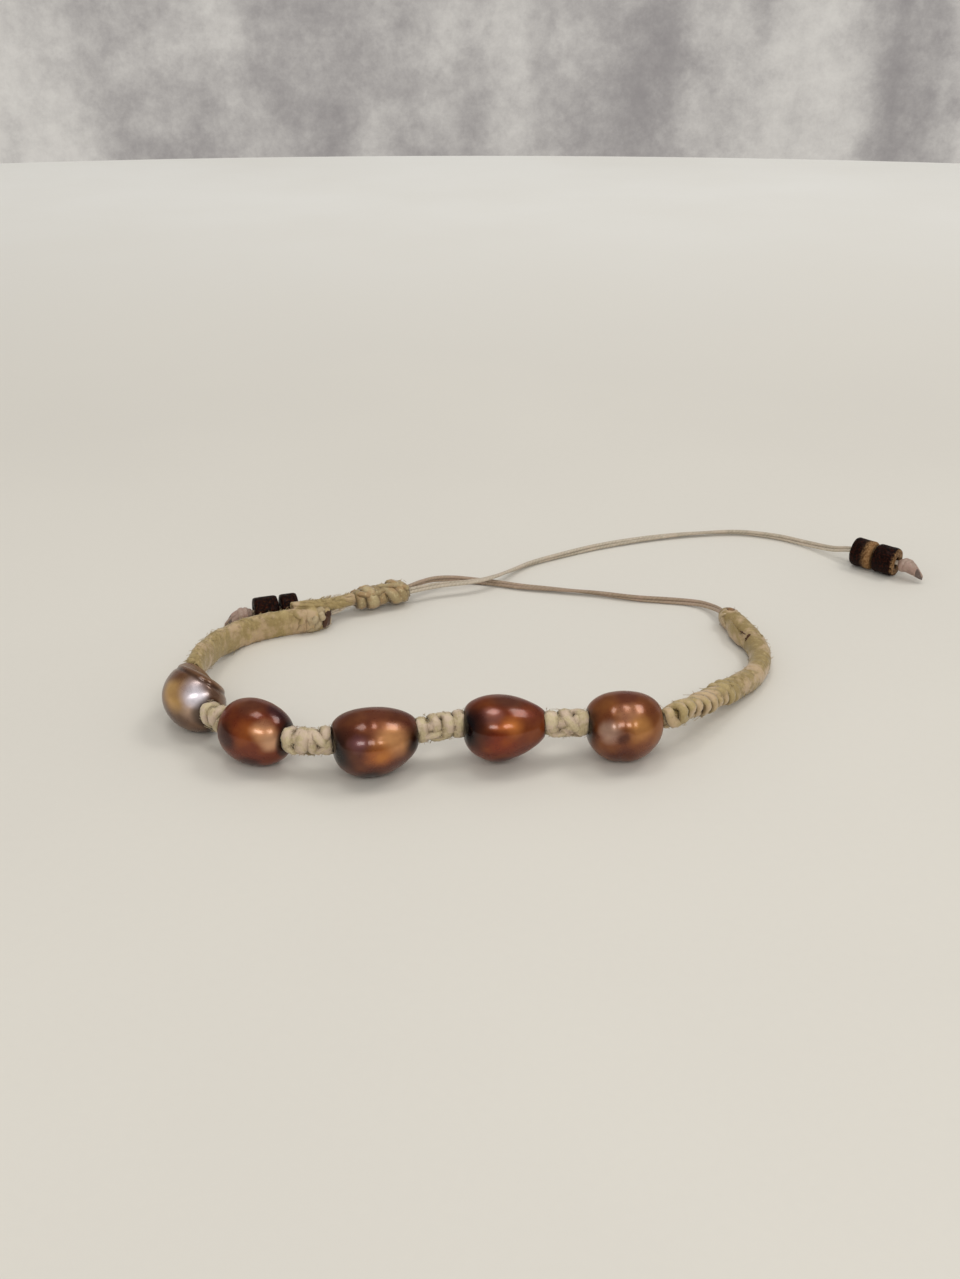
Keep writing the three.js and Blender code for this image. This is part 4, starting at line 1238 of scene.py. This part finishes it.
bead_finishes = {
    "long_tail_bead_1": wood_material("bead wood with a pale end", 1.7, 3.0, 0.9, 0.1),
    "long_tail_bead_2": wood_material("bead wood with a pale edge", 3.1, 3.5, 0.9, 0.1),
    "short_tail_bead_1": wood_material("speckled bead wood", 4.0, 5.0, 0.2, 0.7),
    "short_tail_bead_2": wood_material("speckled long bead wood", 4.0, 5.0, 0.2, 0.8),
}
around = circle(bead_sides)
bead_radius = bead_diameter / 2
tail_ways = {}
for tail, lengths in bead_lengths.items():
    tip = np.array(cord_routes[tail][-1]) / mm
    before = np.array(cord_routes[tail][-3]) / mm
    heading = math.degrees(math.atan2(tip[1] - before[1], tip[0] - before[0]))
    way = Way(tip[:2] - level_direction(heading) * 12, [(-12, heading, tip[2]), (6, heading, tip[2])])
    tail_ways[tail] = way
    far = -tail_stub
    for number in (2, 1):
        length = lengths[number - 1]
        near = far - length
        eased_end = [(0.0, 1.0), (0.02, 1.35), (0.02, bead_radius - bead_chamfer),
                     (0.1, bead_radius - 0.14), (0.3, bead_radius - 0.02)]
        outline = eased_end + [(at, bead_radius + 0.02) for at in np.linspace(0.5, length - 0.5, 12)]
        outline += [(length - at, radius) for at, radius in reversed(eased_end)]
        outline += [(length - 0.25, 0.74), (length / 2, 0.7), (0.25, 0.74)]
        rings = []
        for at, radius in outline:
            ring = way.around(np.full(bead_sides, near + at), radius, around)
            if radius > 1.2:
                out = unit(ring - way.at(near + at)[0])
                ring = ring + out * (0.07 * lumps(ring, 0.9, number + len(tail)) - 0.04)[:, None]
            ring[:, 2] = np.maximum(ring[:, 2], 0.0)
            rings.append(ring)
        bead = Strands()
        bead.rings(rings, [at for at, _ in outline], True)
        name = f"{tail}_bead_{number}"
        piece = bead.build(f"{name}_wood", [bead_finishes[name]])
        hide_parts(name)
        far = near - touch_gap


# The stop knots: a small knot in each pair of strands, drawn hard against the last bead, with one more turn
# round it and two tips laid in. It was sealed with a flame, so it is glassy, and darker at its point.
stop_finish = thread_material(
    "sealed thread", (196, 174, 158), (134, 108, 94), (164, 134, 122),
    plies=0.05, fibres=0.5, sheen=0.1, roughness=0.42)
tip_finish = thread_material(
    "burnt thread tip", (140, 122, 112), (78, 64, 58), (100, 84, 76), fibres=0.4, roughness=0.4)
burnt_from = 22
stop_sides = 40
around = circle(stop_sides)
for tail, way in tail_ways.items():
    knot = Strands()
    runs = np.linspace(0.0, 3.9, 30)
    girths = np.interp(
        runs, (0, 0.4, 1.0, 1.6, 2.3, 3.0, 3.6, 3.9), (0.55, 0.75, 0.98, 1.02, 0.88, 0.66, 0.42, 0.22))
    rings = []
    for run, girth in zip(runs, girths):
        folds = 1 + 0.09 * np.cos(3 * around + 2.2 * run)
        ring = way.around(np.full(stop_sides, run), girth * folds, around)
        ring = ring + (ring - way.at(run)[0]) * (0.16 * lumps(ring, 0.9, 4))[:, None]
        ring[:, 2] = np.maximum(ring[:, 2] - 0.17 * max(0.0, run - 1.0) ** 2, 0.1)
        rings.append(ring)
    knot.rings(rings[:burnt_from + 1], runs[:burnt_from + 1], False, 0.6)
    knot.rings(rings[burnt_from:], runs[burnt_from:], False, 0.5, 1)
    turn = np.linspace(0, 1.6 * 2 * math.pi, 60)
    wrap_run = 0.6 + 1.0 * turn / turn[-1] + 0.3 * np.sin(turn + 0.8)
    wrap = way.around(wrap_run, 0.86 + 0.06 * np.sin(2.2 * turn), turn)
    wrap[:, 2] -= 0.04
    knot.strand(wrap, wrap - way.at(wrap_run)[0], 0.8, 0.5, 0.7, sides=18, ribs=6)
    for side_angle, length, tone in ((0.9, 1.9, 0.6), (3.4, 1.6, 0.4)):
        out = np.linspace(0, 1, 14)
        tip_run = 1.9 + length * out
        tip_path = way.around(tip_run, 0.7 - 0.45 * out, side_angle + 0.5 * out)
        tip_path[:, 2] = np.maximum(tip_path[:, 2] - 0.17 * (tip_run - 1.0) ** 2, 0.3)
        knot.strand(tip_path, (0, 0, 1), 0.6 - 0.2 * out ** 2, 0.5 - 0.15 * out, tone, groove_shade=0.3)
    piece = knot.build(f"{tail}_end_knot_strands", [stop_finish, tip_finish])
    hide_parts(f"{tail}_end_knot")


# The table and the room: a pale round table, painted lighter and cooler towards the back, and a
# grey wall with darker streaks and blotches, which glows, some way behind its far edge.
# Neither is part of the bracelet.
table_radius = 0.98
table_middle = (0, -0.566)
table_corners = 256
table_edge = [
    (table_middle[0] + table_radius * math.cos(a), table_middle[1] + table_radius * math.sin(a), 0)
    for a in circle(table_corners)]
table_finish, tree, shader = new_material("pale table")
place = object_place(tree)
table_grain = clouds(tree, place, 900.0, 2.0)
table_tone = maths(tree, "MULTIPLY_ADD", table_grain, 0.25, clouds(tree, place, 14.0, 3.0))
table_depth = put(tree, "ShaderNodeSeparateXYZ", {0: place}).outputs[1]
# Painted light: the table is darker and warmer near the front, lighter and cooler towards the back.
table_colour = mixed(tree, spread(tree, table_depth, 0.08, 0.38), tint(216, 212, 203), tint(242, 241, 236))
table_colour = mixed(tree, spread(tree, table_tone, 0.35, 0.9, 0.0, 0.3), table_colour, tint(226, 222, 212))
feed(tree, shader, {"Base Color": table_colour, "Roughness": 0.6})

wall_corners = [(-2, 1.3, -1.2), (2, 1.3, -1.2), (2, 1.3, 0.6), (-2, 1.3, 0.6)]
wall_finish, tree, shader = new_material("streaked grey wall")
place = object_place(tree)
streaked = put(tree, "ShaderNodeMapping", {"Vector": place, "Scale": (7.0, 1.0, 1.3)}).outputs[0]
blotches = clouds(tree, place, 16.0, 9.0, 0.75)
wall_tone = maths(tree, "MULTIPLY_ADD", blotches, 0.8, clouds(tree, streaked, 1.0, 3.0))
wall_colour = mixed(tree, spread(tree, wall_tone, 0.6, 1.2), tint(138, 134, 134), tint(202, 199, 194))
# Painted light: the wall glows with its own colour.
feed(tree, shader, {
    "Base Color": wall_colour,
    "Emission Color": wall_colour,
    "Emission Strength": 0.4,
    "Roughness": 0.8,
})

for name, corners, finish in (("table", table_edge, table_finish), ("wall", wall_corners, wall_finish)):
    mesh = bpy.data.meshes.new(name)
    mesh.from_pydata(corners, [], [tuple(range(len(corners)))])
    mesh.materials.append(finish)
    backdrop = bpy.data.objects.new(name, mesh)
    scene.collection.objects.link(backdrop)


# The light: two soft panels overhead and two behind the viewer, as pairs of windows would stand,
# and a pale room around.
room_white = (1.0, 0.985, 0.96)
panel_distance = 0.75
light_panels = [
    # direction, width, height, power
    ((0.5, 0.2, 0.8), 0.3, 0.21, 1.0),
    ((-0.12, 0.1, 0.95), 0.24, 0.2, 0.68),
    ((0.34, -0.66, 0.64), 0.22, 0.17, 0.62),
    ((-0.16, -0.72, 0.6), 0.17, 0.15, 0.62),
]
for i, (direction, width, height, power) in enumerate(light_panels):
    light = bpy.data.lights.new(f"panel_{i + 1}", "AREA")
    light.shape = "RECTANGLE"
    light.size = width
    light.size_y = height
    light.energy = power
    light.color = room_white
    panel = bpy.data.objects.new(f"panel_{i + 1}", light)
    scene.collection.objects.link(panel)
    towards = Vector(direction).normalized()
    panel.location = towards * panel_distance
    panel.rotation_euler = towards.to_track_quat("Z", "Y").to_euler()
room = bpy.data.worlds.new("room")
scene.world = room
room.use_nodes = True
background = room.node_tree.nodes["Background"]
glossy = put(room.node_tree, "ShaderNodeLightPath").outputs["Is Glossy Ray"]
room_strength = spread(room.node_tree, glossy, 0.0, 1.0, 0.63, 0.15)
feed(room.node_tree, background, {"Color": (*room_white, 1), "Strength": room_strength})
